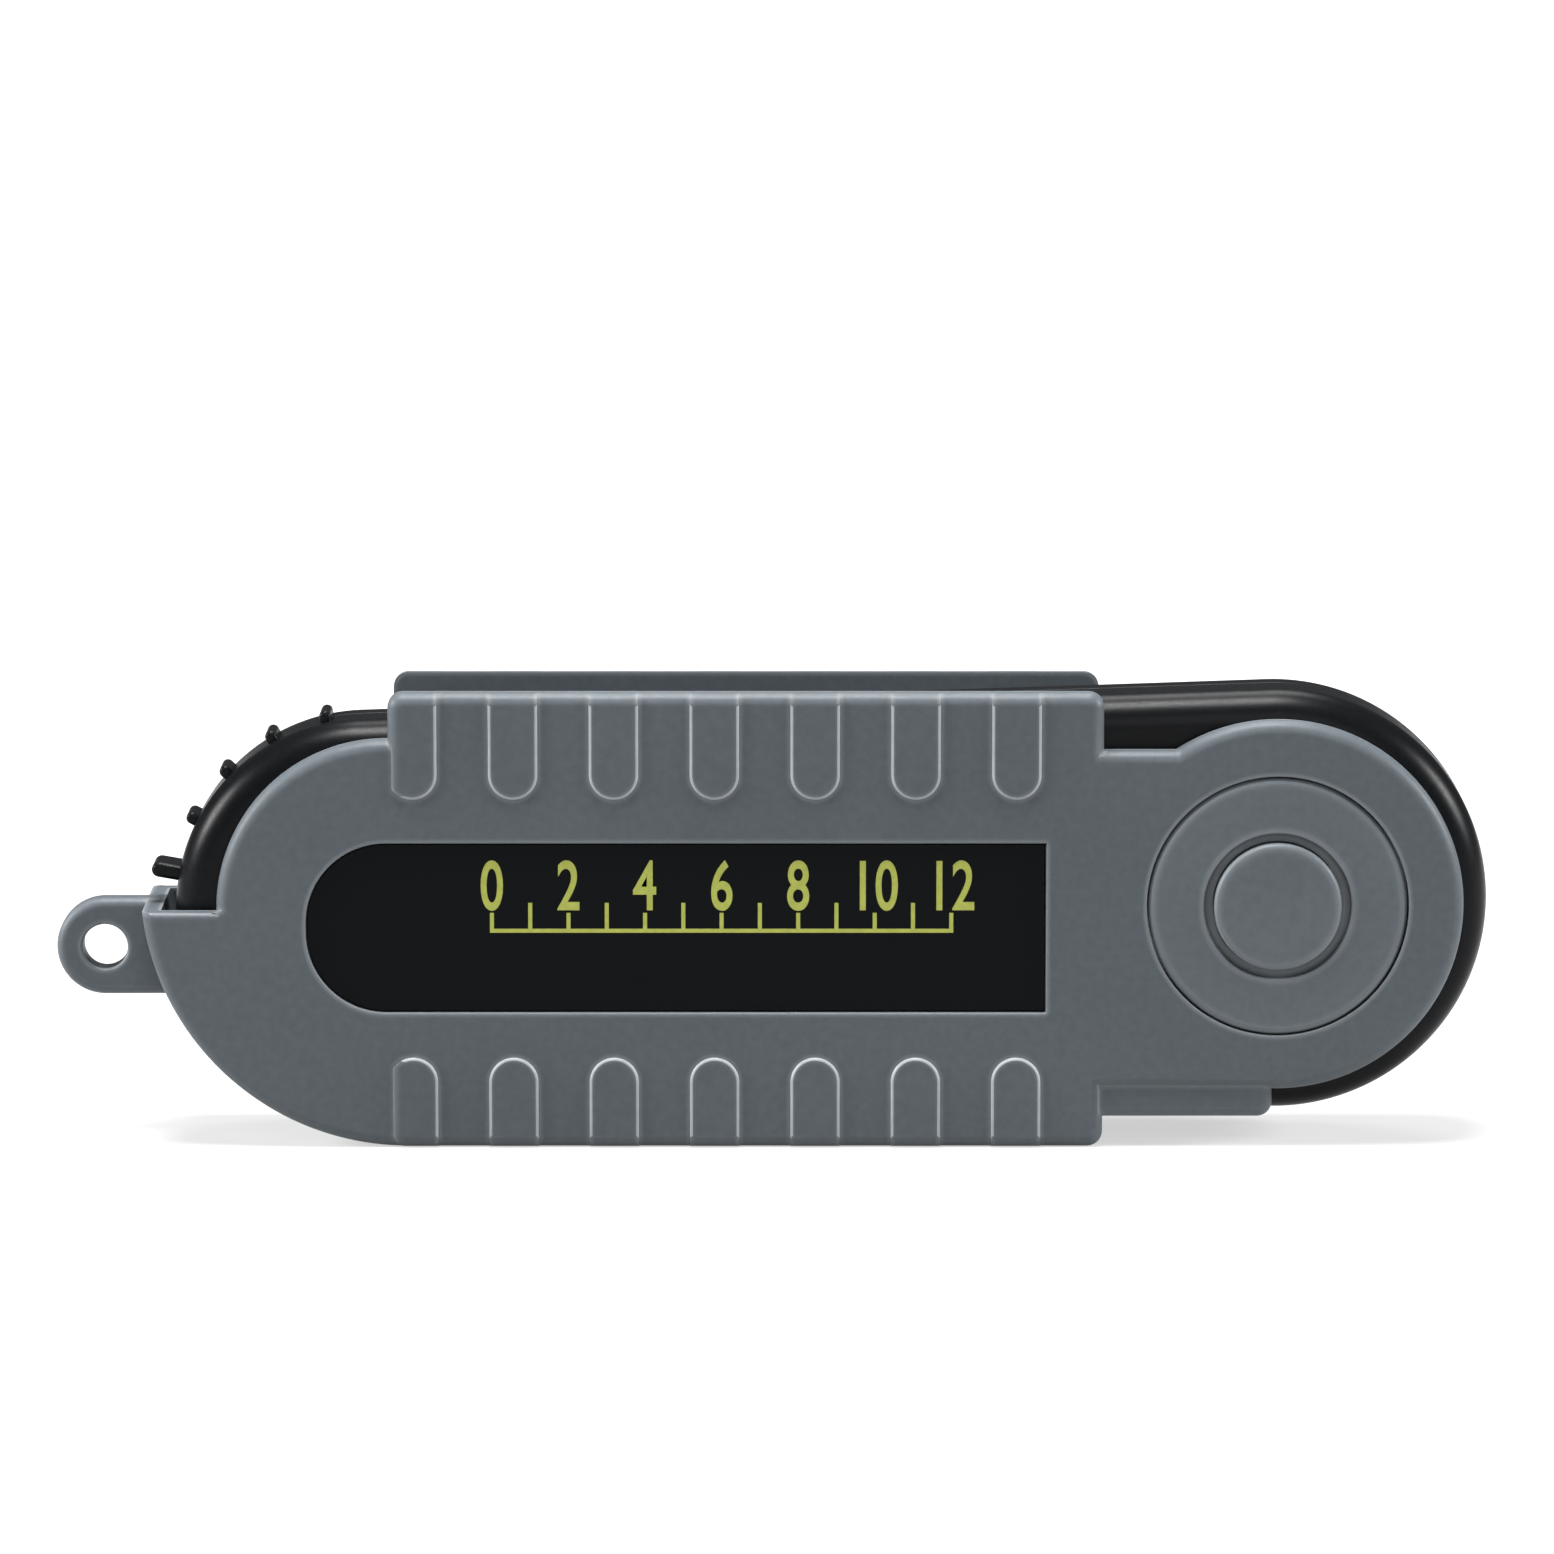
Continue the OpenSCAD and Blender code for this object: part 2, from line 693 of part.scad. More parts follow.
module brake_plate() {
    color(steel) place() difference() {
        translate([0, 0, brake_z0]) cylinder(r = brake_r, h = brake_t);
        translate([0, 0, brake_z0 - 1]) cylinder(r = stem_r, h = brake_t + 2);
        at_posts() translate([0, 0, brake_z0 - 1]) cylinder(r = post_r + 0.3, h = brake_t + 2);
    }
}

// One unbroken wire: closed turns at both ends and open turns between them
spring_steps = 8;
spring_h = brake_z0 - cup_floor - 2 * spring_wire_r;
function spring_z(t) = t < 0.75 ? 0.75 * 2.2 * spring_wire_r * t / 0.75
    : t > spring_turns + 0.75 ? spring_h - (spring_turns + 1.5 - t) * 2.2 * spring_wire_r
    : 1.65 * spring_wire_r + (t - 0.75) * (spring_h - 3.3 * spring_wire_r) / spring_turns;
function spring_ring(i) = let (t = i / spring_steps, a = 360 * t, z = spring_z(t))
    [for (k = [0 : 5]) let (b = 60 * k, q = spring_r + spring_wire_r * cos(b))
        [q * cos(a), q * sin(a), z + spring_wire_r * sin(b)]];

module release_spring() {
    last = (spring_turns + 1.5) * spring_steps;
    points = [for (i = [0 : last]) each spring_ring(i)];
    sides = [for (i = [0 : last - 1], k = [0 : 5]) let (a = 6 * i + k, b = 6 * i + (k + 1) % 6)
        each [[a, a + 6, b], [b, a + 6, b + 6]]];
    caps = [for (k = [1 : 4]) each [[0, k, k + 1], [6 * last, 6 * last + k + 1, 6 * last + k]]];
    color(steel) place() translate([0, 0, cup_floor + spring_wire_r])
        polyhedron(points, concat(sides, caps), convexity = 6);
}

// Flat shape of the hollow inside the case
module case_hollow() {
    difference() {
        meter_shape(case_wall);
        translate([head_x, head_y]) circle(tube_r);
    }
}

// Bosses for the screws that hold the case halves together
module case_bosses(z0, z1) {
    for (p = case_screws_at) translate([p.x, p.y, z0]) cylinder(r = case_boss_r, h = z1 - z0);
}

module front_case() {
    color(case_black) place() difference() {
        union() {
            difference() {
                translate([0, 0, split_z]) meter_solid(meter_z1 - split_z);
                translate([0, 0, split_z - 1]) linear_extrude(inner_z1 - split_z + 1) case_hollow();
            }
            intersection() {
                union() {
                    translate([0, 0, pocket_floor - pocket_skin])
                        cylinder(r = pocket_wall_r, h = inner_z1 - pocket_floor + pocket_skin + sink);
                    translate([0, 0, cup_floor - cup_wall])
                        cylinder(r = cup_r + cup_wall, h = pocket_floor - cup_floor + 1);
                    at_posts() translate([0, 0, split_z]) cylinder(r = post_boss_r, h = inner_z1 - split_z);
                    case_bosses(split_z, inner_z1 + sink);
                    for (p = board_posts_at) translate([p.x, p.y, board_z1])
                        cylinder(r = board_post_r, h = inner_z1 - board_z1 + sink);
                }
                translate([0, 0, split_z]) linear_extrude(inner_z1 - split_z + sink)
                    meter_shape(case_wall / 2);
            }
            end_ribs(split_z, meter_mid + end_rib_len / 2);
        }
        translate([0, 0, pocket_floor]) cylinder(r = pocket_r, h = far);
        translate([0, 0, cup_floor]) cylinder(r = cup_r, h = far);
        at_posts() cylinder(r = post_r + post_clear, h = far);
        translate([head_x, head_y, 0]) cylinder(r = bore_r, h = far);
        for (p = case_screws_at) translate([p.x, p.y, split_z - 1])
            cylinder(r = case_screw_r, h = case_screw_end + tip_space - split_z + 1);
        translate([lcd_left - window_margin, -lcd_h / 2 - window_margin, meter_z1 - window_t - 0.1])
            cube([lcd_len + 2 * window_margin, lcd_h + 2 * window_margin, far]);
        translate([lcd_left + view_inset, -lcd_h / 2 + view_inset, inner_z1 - 1])
            cube([lcd_len - 2 * view_inset, lcd_h - 2 * view_inset, far]);
        for (y = [-key_pitch, 0, key_pitch]) translate([keys_x, y, inner_z1 - 1])
            cylinder(r = key_r + button_clear, h = far);
        translate([grille_at.x, grille_at.y, inner_z1 - 1]) cylinder(r = grille_r + 0.05, h = far);
    }
}

// Grip ribs and the thumb catch on the round end, from z0 to z1
module end_ribs(z0, z1) {
    for (i = [0 : end_rib_count]) {
        a = end_rib_angle + i * end_rib_step;
        h = i == end_rib_count ? catch_h : end_rib_h;
        w = i == end_rib_count ? end_rib_w + 0.3 : end_rib_w;
        translate([head_x, head_y, z0]) rotate(a) {
            translate([head_r - 0.8, -w / 2, 0]) cube([h + 0.8 - w / 2, w, z1 - z0]);
            translate([head_r + h - w / 2, 0, 0]) cylinder(r = w / 2, h = z1 - z0);
        }
    }
}

module rear_case() {
    color(case_black) place() difference() {
        union() {
            difference() {
                rear_twin() translate([0, 0, cover_t - split_z]) meter_solid(split_z - meter_z0);
                translate([0, 0, inner_z0]) linear_extrude(far) case_hollow();
            }
            intersection() {
                union() {
                    at_posts() translate([0, 0, inner_z0 - sink])
                        cylinder(r = post_boss_r, h = split_z - inner_z0 + sink);
                    case_bosses(inner_z0 - sink, split_z);
                    for (p = board_posts_at) translate([p.x, p.y, inner_z0 - sink])
                        cylinder(r = board_post_r, h = board_z0 - inner_z0 + sink);
                    translate([lcd_x, 0, inner_z0 - sink])
                        cylinder(r = ring_r1, h = ring_z1 - inner_z0 + sink);
                }
                linear_extrude(far) meter_shape(case_wall / 2);
            }
            end_ribs(meter_mid - end_rib_len / 2, split_z);
        }
        translate([head_x, head_y, vane_z0]) cylinder(r = bore_r, h = far);
        translate([head_x, head_y, 0]) cylinder(r = vane_in_r, h = far);
        at_posts() cylinder(r = pivot_screw_r + 0.1, h = far);
        for (p = case_screws_at) translate([p.x, p.y, 0]) {
            cylinder(r = case_screw_r + 0.1, h = far);
            cylinder(r = case_head_r + 0.1, h = meter_z0 + case_head_t + 0.1);
        }
        translate([lcd_x, 0, 0]) {
            cylinder(r = ring_r0, h = far);
            cylinder(r = door_r + door_clear, h = meter_z0 + door_t);
            for (a = door_angles) rotate(a + 60) intersection() {
                cylinder(r = lug_r + door_clear, h = far);
                translate([0, -lug_w / 2 - 0.2, 0]) cube([far, lug_w + 0.4, far]);
            }
            translate([0, 0, meter_z0 + door_t - eps]) difference() {
                cylinder(r = seal_mid_r + seal_r + 0.02, h = 2 * seal_r + 0.02);
                cylinder(r = seal_mid_r - seal_r - 0.02, h = 2 * seal_r + 0.02);
            }
        }
        translate([0, 0, split_z - gasket_t]) linear_extrude(1) gasket_shape();
    }
}

module gasket_shape() {
    difference() {
        meter_shape((case_wall - gasket_w) / 2);
        meter_shape((case_wall + gasket_w) / 2);
    }
}

module case_gasket() {
    color(rubber) place() translate([0, 0, split_z - gasket_t]) linear_extrude(gasket_t) gasket_shape();
}

module case_screws() {
    color(steel) place() for (p = case_screws_at) translate([p.x, p.y, meter_z0 + 0.1]) {
        difference() {
            cylinder(r = case_head_r, h = case_head_t);
            cross_recess(case_head_r - 0.6);
        }
        cylinder(r = case_screw_r, h = case_screw_end - meter_z0 - 0.1);
    }
}

module lcd_window() {
    color("#2b3136") place()
        translate([lcd_left - window_reach, -lcd_h / 2 - window_reach, meter_z1 - window_t - 0.1])
            cube([lcd_len + 2 * window_reach, lcd_h + 2 * window_reach, window_t]);
}

module lcd_panel() {
    color("#9aa38f") place()
        translate([lcd_left + glass_inset, -lcd_h / 2 + glass_inset, lcd_z0])
            cube([lcd_len - 2 * glass_inset, lcd_h - 2 * glass_inset, lcd_t]);
}

module lcd_frame() {
    color("#d8dadb") place() difference() {
        translate([lcd_left, -lcd_h / 2, board_z1]) cube([lcd_len, lcd_h, lcd_z1 - board_z1 - 0.1]);
        translate([lcd_left + lcd_frame_wall, -lcd_h / 2 + lcd_frame_wall, board_z1 - 1])
            cube([lcd_len - 2 * lcd_frame_wall, lcd_h - 2 * lcd_frame_wall, far]);
    }
}

module lcd_connectors() {
    color(rubber) place() for (s = [-1, 1])
        translate([lcd_left + strip_inset, s * (lcd_h / 2 - lcd_frame_wall - 1.3) - strip_w / 2, board_z1])
            cube([lcd_len - 2 * strip_inset, strip_w, lcd_lift]);
}

module board_shape() {
    difference() {
        translate([board_left, -board_half]) square([keys_x + key_flange_r - board_left, 2 * board_half]);
        translate([head_x, head_y]) circle(tube_r + board_clear);
        for (p = case_screws_at) translate(p) circle(case_boss_r + board_clear);
    }
}

module circuit_board() {
    color("#1f5c3a") place() translate([0, 0, board_z0]) linear_extrude(board_t) board_shape();
}

module processor_chip() {
    color("#15171a") place() translate([lcd_x - chip_w / 2, -chip_w / 2, board_z1])
        cube([chip_w, chip_w, chip_t]);
}

module key_mat() {
    color("#7d8288") place() {
        translate([0, 0, board_z1]) linear_extrude(mat_t) difference() {
            translate([keys_x - key_flange_r, -board_half]) square([2 * key_flange_r, 2 * board_half]);
            for (p = concat(case_screws_at, board_posts_at)) translate(p) circle(case_boss_r + 0.1);
        }
        for (y = [-key_pitch, 0, key_pitch]) translate([keys_x, y, board_z1])
            cylinder(r = key_r - 0.6, h = key_z0 - key_travel - mat_gap - board_z1);
    }
}

module key(y, shade) {
    color(shade) place() translate([keys_x, y, 0]) {
        translate([0, 0, key_z0]) round_disc(key_r, meter_z1 + key_proud - key_z0, key_edge_r);
        translate([0, 0, key_z0]) cylinder(r = key_flange_r, h = key_flange_t);
    }
}

module power_key() {
    key(-key_pitch, "#8d9399");
}

module mode_key() {
    key(0, "#8d9399");
}

module hold_key() {
    key(key_pitch, "#8d9399");
}

module coin_cell() {
    color(steel) place() translate([lcd_x, 0, cell_z0]) {
        cylinder(r = cell_r, h = cell_t - 0.3);
        cylinder(r = cell_r - 1, h = cell_t);
    }
}

// Leaf under the board that presses on the top of the cell
module cell_contact() {
    color(gold) place() {
        translate([lcd_x - leaf_len / 2, -leaf_w / 2, cell_z0 + cell_t]) cube([leaf_len, leaf_w, leaf_t]);
        for (x = [lcd_x - leaf_len / 2, lcd_x + leaf_len / 2 - leg_w])
            translate([x, -leaf_w / 2, cell_z0 + cell_t]) cube([leg_w, leaf_w, contact_space]);
    }
}

// Clip that touches the rim of the cell
module rim_contact() {
    color(gold) place() {
        translate([lcd_x - clip_w / 2, cell_r - clip_lap, board_z0 - leaf_t])
            cube([clip_w, board_half - cell_r + clip_lap, leaf_t]);
        translate([lcd_x - clip_w / 2, cell_r + 0.05, neck_z1 + 0.1])
            cube([clip_w, leaf_t, board_z0 - neck_z1 - 0.1]);
    }
}

module battery_door() {
    color(case_black) place() translate([lcd_x, 0, meter_z0]) {
        difference() {
            cylinder(r = door_r, h = door_t);
            translate([-coin_slot_len / 2, -coin_slot_w / 2, -eps])
                cube([coin_slot_len, coin_slot_w, coin_slot_depth]);
        }
        difference() {
            cylinder(r = neck_r1, h = neck_z1 - meter_z0);
            translate([0, 0, door_t]) cylinder(r = neck_r0, h = far);
        }
        for (a = door_angles) rotate(a) intersection() {
            translate([0, 0, ring_z1 + 0.1 - meter_z0]) difference() {
                cylinder(r = lug_r, h = lug_t);
                translate([0, 0, -1]) cylinder(r = neck_r0 + 0.2, h = lug_t + 2);
            }
            translate([0, -lug_w / 2, 0]) cube([far, lug_w, far]);
        }
    }
}

module battery_seal() {
    color(rubber) place() translate([lcd_x, 0, meter_z0 + door_t + seal_r])
        rotate_extrude() translate([seal_mid_r, 0]) circle(seal_r);
}

module vane_ring() {
    color("#202226") place() translate([head_x, head_y, 0]) {
        translate([0, 0, vane_z0]) difference() {
            cylinder(r = vane_ring_r, h = vane_ring_len);
            translate([0, 0, -1]) cylinder(r = vane_in_r, h = vane_ring_len + 2);
        }
        for (z = [vane_z0, vane_z1 - spider_t]) translate([0, 0, z]) difference() {
            union() {
                cylinder(r = spider_hub_r, h = spider_t);
                for (a = [0, 120, 240]) rotate(a) translate([0, -spider_w / 2, 0])
                    cube([vane_in_r + vane_ring_wall / 2, spider_w, spider_t]);
            }
            translate([0, 0, -1]) cylinder(r = jewel_r, h = spider_t + 2);
        }
    }
}

module jewel(z) {
    color("#8a2c3c") place() translate([head_x, head_y, z]) difference() {
        cylinder(r = jewel_r, h = spider_t);
        translate([0, 0, -1]) cylinder(r = shaft_r + shaft_clear, h = spider_t + 2);
    }
}

module front_bearing() {
    jewel(vane_z1 - spider_t);
}

module rear_bearing() {
    jewel(vane_z0);
}

module impeller() {
    color("#d9dcdd") place() translate([head_x, head_y, 0]) difference() {
        union() {
            translate([0, 0, hub_z0]) cylinder(r = hub_r, h = hub_len);
            intersection() {
                translate([0, 0, hub_z0]) cylinder(r = blade_r, h = hub_len);
                for (i = [0 : blade_count - 1]) rotate(i * 360 / blade_count)
                    translate([hub_r - sink, 0, meter_mid]) rotate([blade_angle, 0, 0])
                        translate([0, -blade_w / 2, -blade_t / 2]) cube([blade_r, blade_w, blade_t]);
            }
        }
        translate([0, 0, hub_z0 - 1]) cylinder(r = shaft_r, h = hub_len + 2);
        translate([0, 0, hub_z1 - magnet_t]) cylinder(r = magnet_r, h = magnet_t + 1);
    }
}

module impeller_shaft() {
    color(steel) place() translate([head_x, head_y, shaft_z0]) cylinder(r = shaft_r, h = shaft_z1 - shaft_z0);
}

module rotor_magnet() {
    color("#4a4c50") place() translate([head_x, head_y, hub_z1 - magnet_t]) difference() {
        cylinder(r = magnet_r, h = magnet_t);
        translate([0, 0, -1]) cylinder(r = shaft_r, h = magnet_t + 2);
    }
}

module pickup_coil() {
    color("#9c5a2e") place() translate([head_x + tube_r + 0.2, head_y - 3, board_z1]) cube([2.2, 6, 3]);
}

module thermistor() {
    color("#3a3d40") place() translate([grille_at.x, grille_at.y, board_z1]) {
        translate([0, 0, 2.2]) cylinder(r = 0.9, h = 1.2);
        for (y = [-0.5, 0.5]) translate([0, y, 0]) cylinder(r = 0.2, h = 2.4);
    }
}

module sensor_grille() {
    color(case_black) place() translate([grille_at.x, grille_at.y, inner_z1 + 0.2]) difference() {
        cylinder(r = grille_r, h = front_wall - 0.4);
        for (y = [-1.1, 0, 1.1]) translate([-1.4, y - 0.25, -1]) cube([2.8, 0.5, far]);
    }
}

front_cover();
rear_cover();
front_label();
cover_screws();
front_pivot_disc();
rear_pivot_disc();
pivot_screws();
release_button();
brake_plate();
release_spring();
front_case();
rear_case();
case_gasket();
case_screws();
lcd_window();
lcd_panel();
lcd_frame();
lcd_connectors();
circuit_board();
processor_chip();
key_mat();
power_key();
mode_key();
hold_key();
coin_cell();
cell_contact();
rim_contact();
battery_door();
battery_seal();
vane_ring();
front_bearing();
rear_bearing();
impeller();
impeller_shaft();
rotor_magnet();
pickup_coil();
thermistor();
sensor_grille();
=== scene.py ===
"""Pocket folding anemometer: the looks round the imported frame.

A piece is drawn lying in the plan, in millimetres: the pivot is at x = 0, y = 0, the front face looks up
along z, and z = 0 is the rear face of the cover. It is then stood upright where the frame has it.
"""
import math
from contextlib import contextmanager
from functools import partial

import bpy
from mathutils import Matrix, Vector


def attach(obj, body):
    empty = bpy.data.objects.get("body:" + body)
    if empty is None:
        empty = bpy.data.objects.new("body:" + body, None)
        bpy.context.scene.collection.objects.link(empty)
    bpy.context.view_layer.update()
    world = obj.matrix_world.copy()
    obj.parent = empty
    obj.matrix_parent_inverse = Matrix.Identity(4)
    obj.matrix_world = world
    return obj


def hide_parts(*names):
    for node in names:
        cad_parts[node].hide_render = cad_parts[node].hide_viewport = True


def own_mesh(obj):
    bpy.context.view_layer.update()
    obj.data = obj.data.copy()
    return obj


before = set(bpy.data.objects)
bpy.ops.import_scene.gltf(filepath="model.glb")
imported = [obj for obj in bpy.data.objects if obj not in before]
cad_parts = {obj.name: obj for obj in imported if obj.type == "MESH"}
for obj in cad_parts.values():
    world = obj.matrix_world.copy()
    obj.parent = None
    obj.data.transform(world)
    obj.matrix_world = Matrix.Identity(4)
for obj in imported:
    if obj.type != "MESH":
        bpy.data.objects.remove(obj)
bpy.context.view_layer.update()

# Camera. A long lens about 0.9 m away and a little above the meter, square to the labelled face, so that
# the rear plate just shows over the front one.
CAMERA_DISTANCE = 0.9
CAMERA_ELEVATION = math.radians(8.3)
CAMERA_AIM = Vector((0.0031, -0.0092, 0.0373))
CAMERA_LENS = 210.6
SENSOR_WIDTH = 36


def set_up(name, data, place, aim):
    """Stands a camera or a lamp at a place and turns it to what it is aimed at."""
    stand = bpy.data.objects.new(name, data)
    bpy.context.scene.collection.objects.link(stand)
    stand.location = place
    stand.rotation_euler = (Vector(aim) - Vector(place)).to_track_quat("-Z", "Y").to_euler()
    return stand


camera_data = bpy.data.cameras.new("camera")
camera_data.lens = CAMERA_LENS
camera_data.sensor_width = SENSOR_WIDTH
backwards = Vector((0, -math.cos(CAMERA_ELEVATION), math.sin(CAMERA_ELEVATION)))
camera = set_up("camera", camera_data, CAMERA_AIM + CAMERA_DISTANCE * backwards, CAMERA_AIM)
bpy.context.scene.camera = camera
bpy.context.scene.view_settings.view_transform = "Standard"


# Studio. A wide white table, seen by the camera as plain white with only the soft shadow under the meter
# left on it, and large lamps above, in front, behind and at both sides.
def colour(code):
    """A colour written as sRGB hex, in the linear values that the shaders take."""
    parts = [int(code[i:i + 2], 16) / 255 for i in (1, 3, 5)]
    linear = [p / 12.92 if p <= 0.04045 else ((p + 0.055) / 1.055) ** 2.4 for p in parts]
    return (*linear, 1)


def add_node(tree, kind, settings=None, **links):
    """Adds a shader node. A setting goes to its socket or property, or a pair to its Min and Max sockets.

    A link joins a socket, by its name or number, to an output, or to a node's first output.
    """
    node = tree.nodes.new("ShaderNode" + kind)
    for name, value in (settings or {}).items():
        if f"{name} Min" in node.inputs:
            node.inputs[f"{name} Min"].default_value, node.inputs[f"{name} Max"].default_value = value
        elif isinstance(name, int) or name in node.inputs:
            node.inputs[name].default_value = value
        else:
            setattr(node, name, value)
    for name, source in links.items():
        socket = node.inputs[int(name[1:]) if name[0] == "_" else name.replace("_", " ")]
        tree.links.new(source.outputs[0] if isinstance(source, bpy.types.Node) else source, socket)
    return node


def new_material(name):
    """An empty material, what adds nodes to it, and the place of a point on its piece."""
    material = bpy.data.materials.new(name)
    material.use_nodes = True
    material.node_tree.nodes.clear()
    add = partial(add_node, material.node_tree)
    return material, add, add("TexCoord").outputs["Object"]


# White painted board: matt, lit by the lamps, and lifted to plain white where no shadow falls.
def white_board():
    material, add, spot = new_material("white_board")
    path = add("LightPath")
    seen = add("Math", {"operation": "MAXIMUM"},
               _0=path.outputs["Is Camera Ray"], _1=path.outputs["Is Glossy Ray"])
    seen = add("Math", {"operation": "MAXIMUM"}, _0=seen, _1=path.outputs["Is Transmission Ray"])
    away = add("VectorMath", {"operation": "LENGTH"}, _0=spot)
    fade = add("MapRange", {"From": (0.1, 0.5), "To": (0.6, 1)}, Value=away.outputs["Value"])
    lift = add("Math", {"operation": "MULTIPLY"}, _0=seen, _1=fade)
    matt = add("BsdfDiffuse", {"Color": colour("#949494")})
    glow = add("Emission", {"Color": (1, 1, 1, 1)}, Strength=lift)
    add("OutputMaterial", Surface=add("AddShader", _0=matt, _1=glow))
    return material


def nothing_selected():
    if bpy.context.object and bpy.context.object.mode != "OBJECT":
        bpy.ops.object.mode_set(mode="OBJECT")
    bpy.ops.object.select_all(action="DESELECT")


nothing_selected()
bpy.ops.mesh.primitive_plane_add(size=12)
table = bpy.context.object
table.name = "table"
table.data.materials.append(white_board())

LAMP_AIM = (0, 0, 0.025)
LAMPS = (("lamp_above", (-0.05, -0.08, 1.1), 0.45, 20),
         ("lamp_front", (0.2, -1.5, 0.7), 0.9, 5),
         ("lamp_left", (-1.1, -0.15, 0.5), 0.4, 18),
         ("lamp_right", (1.1, -0.12, 0.5), 0.4, 15),
         ("lamp_behind", (0.1, 0.9, 1.4), 0.7, 9))
for name, where, size, watts in LAMPS:
    light = bpy.data.lights.new(name, "AREA")
    light.shape = "DISK"
    light.size = size
    light.energy = watts
    set_up(name, light, where, LAMP_AIM)

world = bpy.data.worlds.new("studio")
world.use_nodes = True
world.node_tree.nodes.clear()
sky = add_node(world.node_tree, "Background", {"Color": (1, 1, 1, 1), "Strength": 0.1})
add_node(world.node_tree, "OutputWorld", Surface=sky)
bpy.context.scene.world = world

# Cover halves. Two grey ABS mouldings that meet halfway through the thickness. Each is a plate with a
# spine along its lower edge, an end wall round its lower left, raised grip ribs and a hole for the pivot.
COVER_T = 18.4
COVER_MID = COVER_T / 2
PLATE_Z0 = COVER_T - 2.1
PIVOT_X = 52.8
PIVOT_HEIGHT = 24.3
EDGE_R = 1.2
ARC = 192
FAR = 200


def named(name):
    """Names the block just added and puts its place and size into its mesh."""
    piece = bpy.context.object
    piece.name = name
    piece.data.name = name
    bpy.ops.object.transform_apply()
    return piece


def bar(name, x0, x1, y0, y1, z0, z1):
    """A block between two corners."""
    nothing_selected()
    bpy.ops.mesh.primitive_cube_add(
        size=1, location=((x0 + x1) / 2000, (y0 + y1) / 2000, (z0 + z1) / 2000),
        scale=((x1 - x0) / 1000, (y1 - y0) / 1000, (z1 - z0) / 1000))
    return named(name)


def disc(name, x, y, r, z0, z1, sides=ARC):
    """A round block standing on the plan."""
    nothing_selected()
    bpy.ops.mesh.primitive_cylinder_add(vertices=sides, radius=r / 1000, depth=(z1 - z0) / 1000,
                                        location=(x / 1000, y / 1000, (z0 + z1) / 2000))
    return named(name)


def discs(name, places, r, z0, z1, sides=48):
    """Like round blocks at several places, in one mesh."""
    return join([disc(name, x, y, r, z0, z1, sides) for x, y in places])


def alone(piece):
    """Makes a piece the only one selected, and the active one."""
    nothing_selected()
    piece.select_set(True)
    bpy.context.view_layer.objects.active = piece


def combine(piece, *tools, how="UNION"):
    """Joins blocks to a piece one after another, or cuts or trims it with them, and removes them."""
    for tool in tools:
        alone(piece)
        modifier = piece.modifiers.new("combine", "BOOLEAN")
        modifier.operation = how
        modifier.solver = "EXACT"
        modifier.object = tool
        bpy.ops.object.modifier_apply(modifier=modifier.name)
        bpy.data.objects.remove(tool)
    return piece


def cut(piece, *tools):
    return combine(piece, *tools, how="DIFFERENCE")


def join(pieces, name=None):
    """Puts several meshes into the first piece, which may take another name."""
    alone(pieces[0])
    for piece in pieces[1:]:
        piece.select_set(True)
    bpy.ops.object.join()
    pieces[0].name = name or pieces[0].name
    return pieces[0]


@contextmanager
def edit(piece, choose=lambda points: True, kind="FACE"):
    """Edit mode with only those faces or edges selected whose corners, in mm, choose accepts."""
    alone(piece)
    bpy.ops.object.mode_set(mode="EDIT")
    bpy.ops.mesh.select_mode(type=kind)
    bpy.ops.mesh.select_all(action="DESELECT")
    bpy.ops.object.mode_set(mode="OBJECT")
    mesh = piece.data
    for item in mesh.polygons if kind == "FACE" else mesh.edges:
        item.select = choose([mesh.vertices[i].co * 1000 for i in item.vertices])
    bpy.ops.object.mode_set(mode="EDIT")
    yield
    bpy.ops.object.mode_set(mode="OBJECT")


def round_edges(piece, choose, width, segments):
    """Rounds the edges whose corners choose accepts."""
    with edit(piece, choose, "EDGE"):
        bpy.ops.mesh.bevel(offset=width / 1000, segments=segments, affect="EDGES")


def merge_flats(piece):
    """Makes one face of each flat area."""
    with edit(piece):
        bpy.ops.mesh.remove_doubles(threshold=1e-6)
        bpy.ops.mesh.dissolve_limited(angle_limit=math.radians(0.3))


def at_height(z):
    """Chooses the edges or faces that lie at one height."""
    return lambda points: all(abs(p.z - z) < 0.002 for p in points)


def upright(points):
    """Chooses the edges that stand along z."""
    return all(abs(p.x - points[0].x) < 0.001 and abs(p.y - points[0].y) < 0.001 for p in points)


def move(piece, x=0, y=0, z=0, tilt=0, turn=0):
    """Tilts a piece about x, turns it about z and moves it, all in its mesh."""
    alone(piece)
    piece.rotation_euler = (math.radians(tilt), 0, math.radians(turn))
    piece.location = (x / 1000, y / 1000, z / 1000)
    bpy.ops.object.transform_apply()
    return piece


def place(piece, body, slot, material, *nodes, smooth=32):
    """Finishes a piece: smooth where curved, stood up in the frame, on its body, in the nodes' place."""
    alone(piece)
    if smooth:
        bpy.ops.object.shade_smooth_by_angle(angle=math.radians(smooth))
        modifier = piece.modifiers.new("flats", "WEIGHTED_NORMAL")
        modifier.keep_sharp = True
        bpy.ops.object.modifier_apply(modifier=modifier.name)
    move(piece, PIVOT_X, COVER_MID, PIVOT_HEIGHT, tilt=90)
    if not piece.data.materials:
        piece.data.materials.append(material)
    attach(piece, body)
    if nodes:
        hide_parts(*nodes)


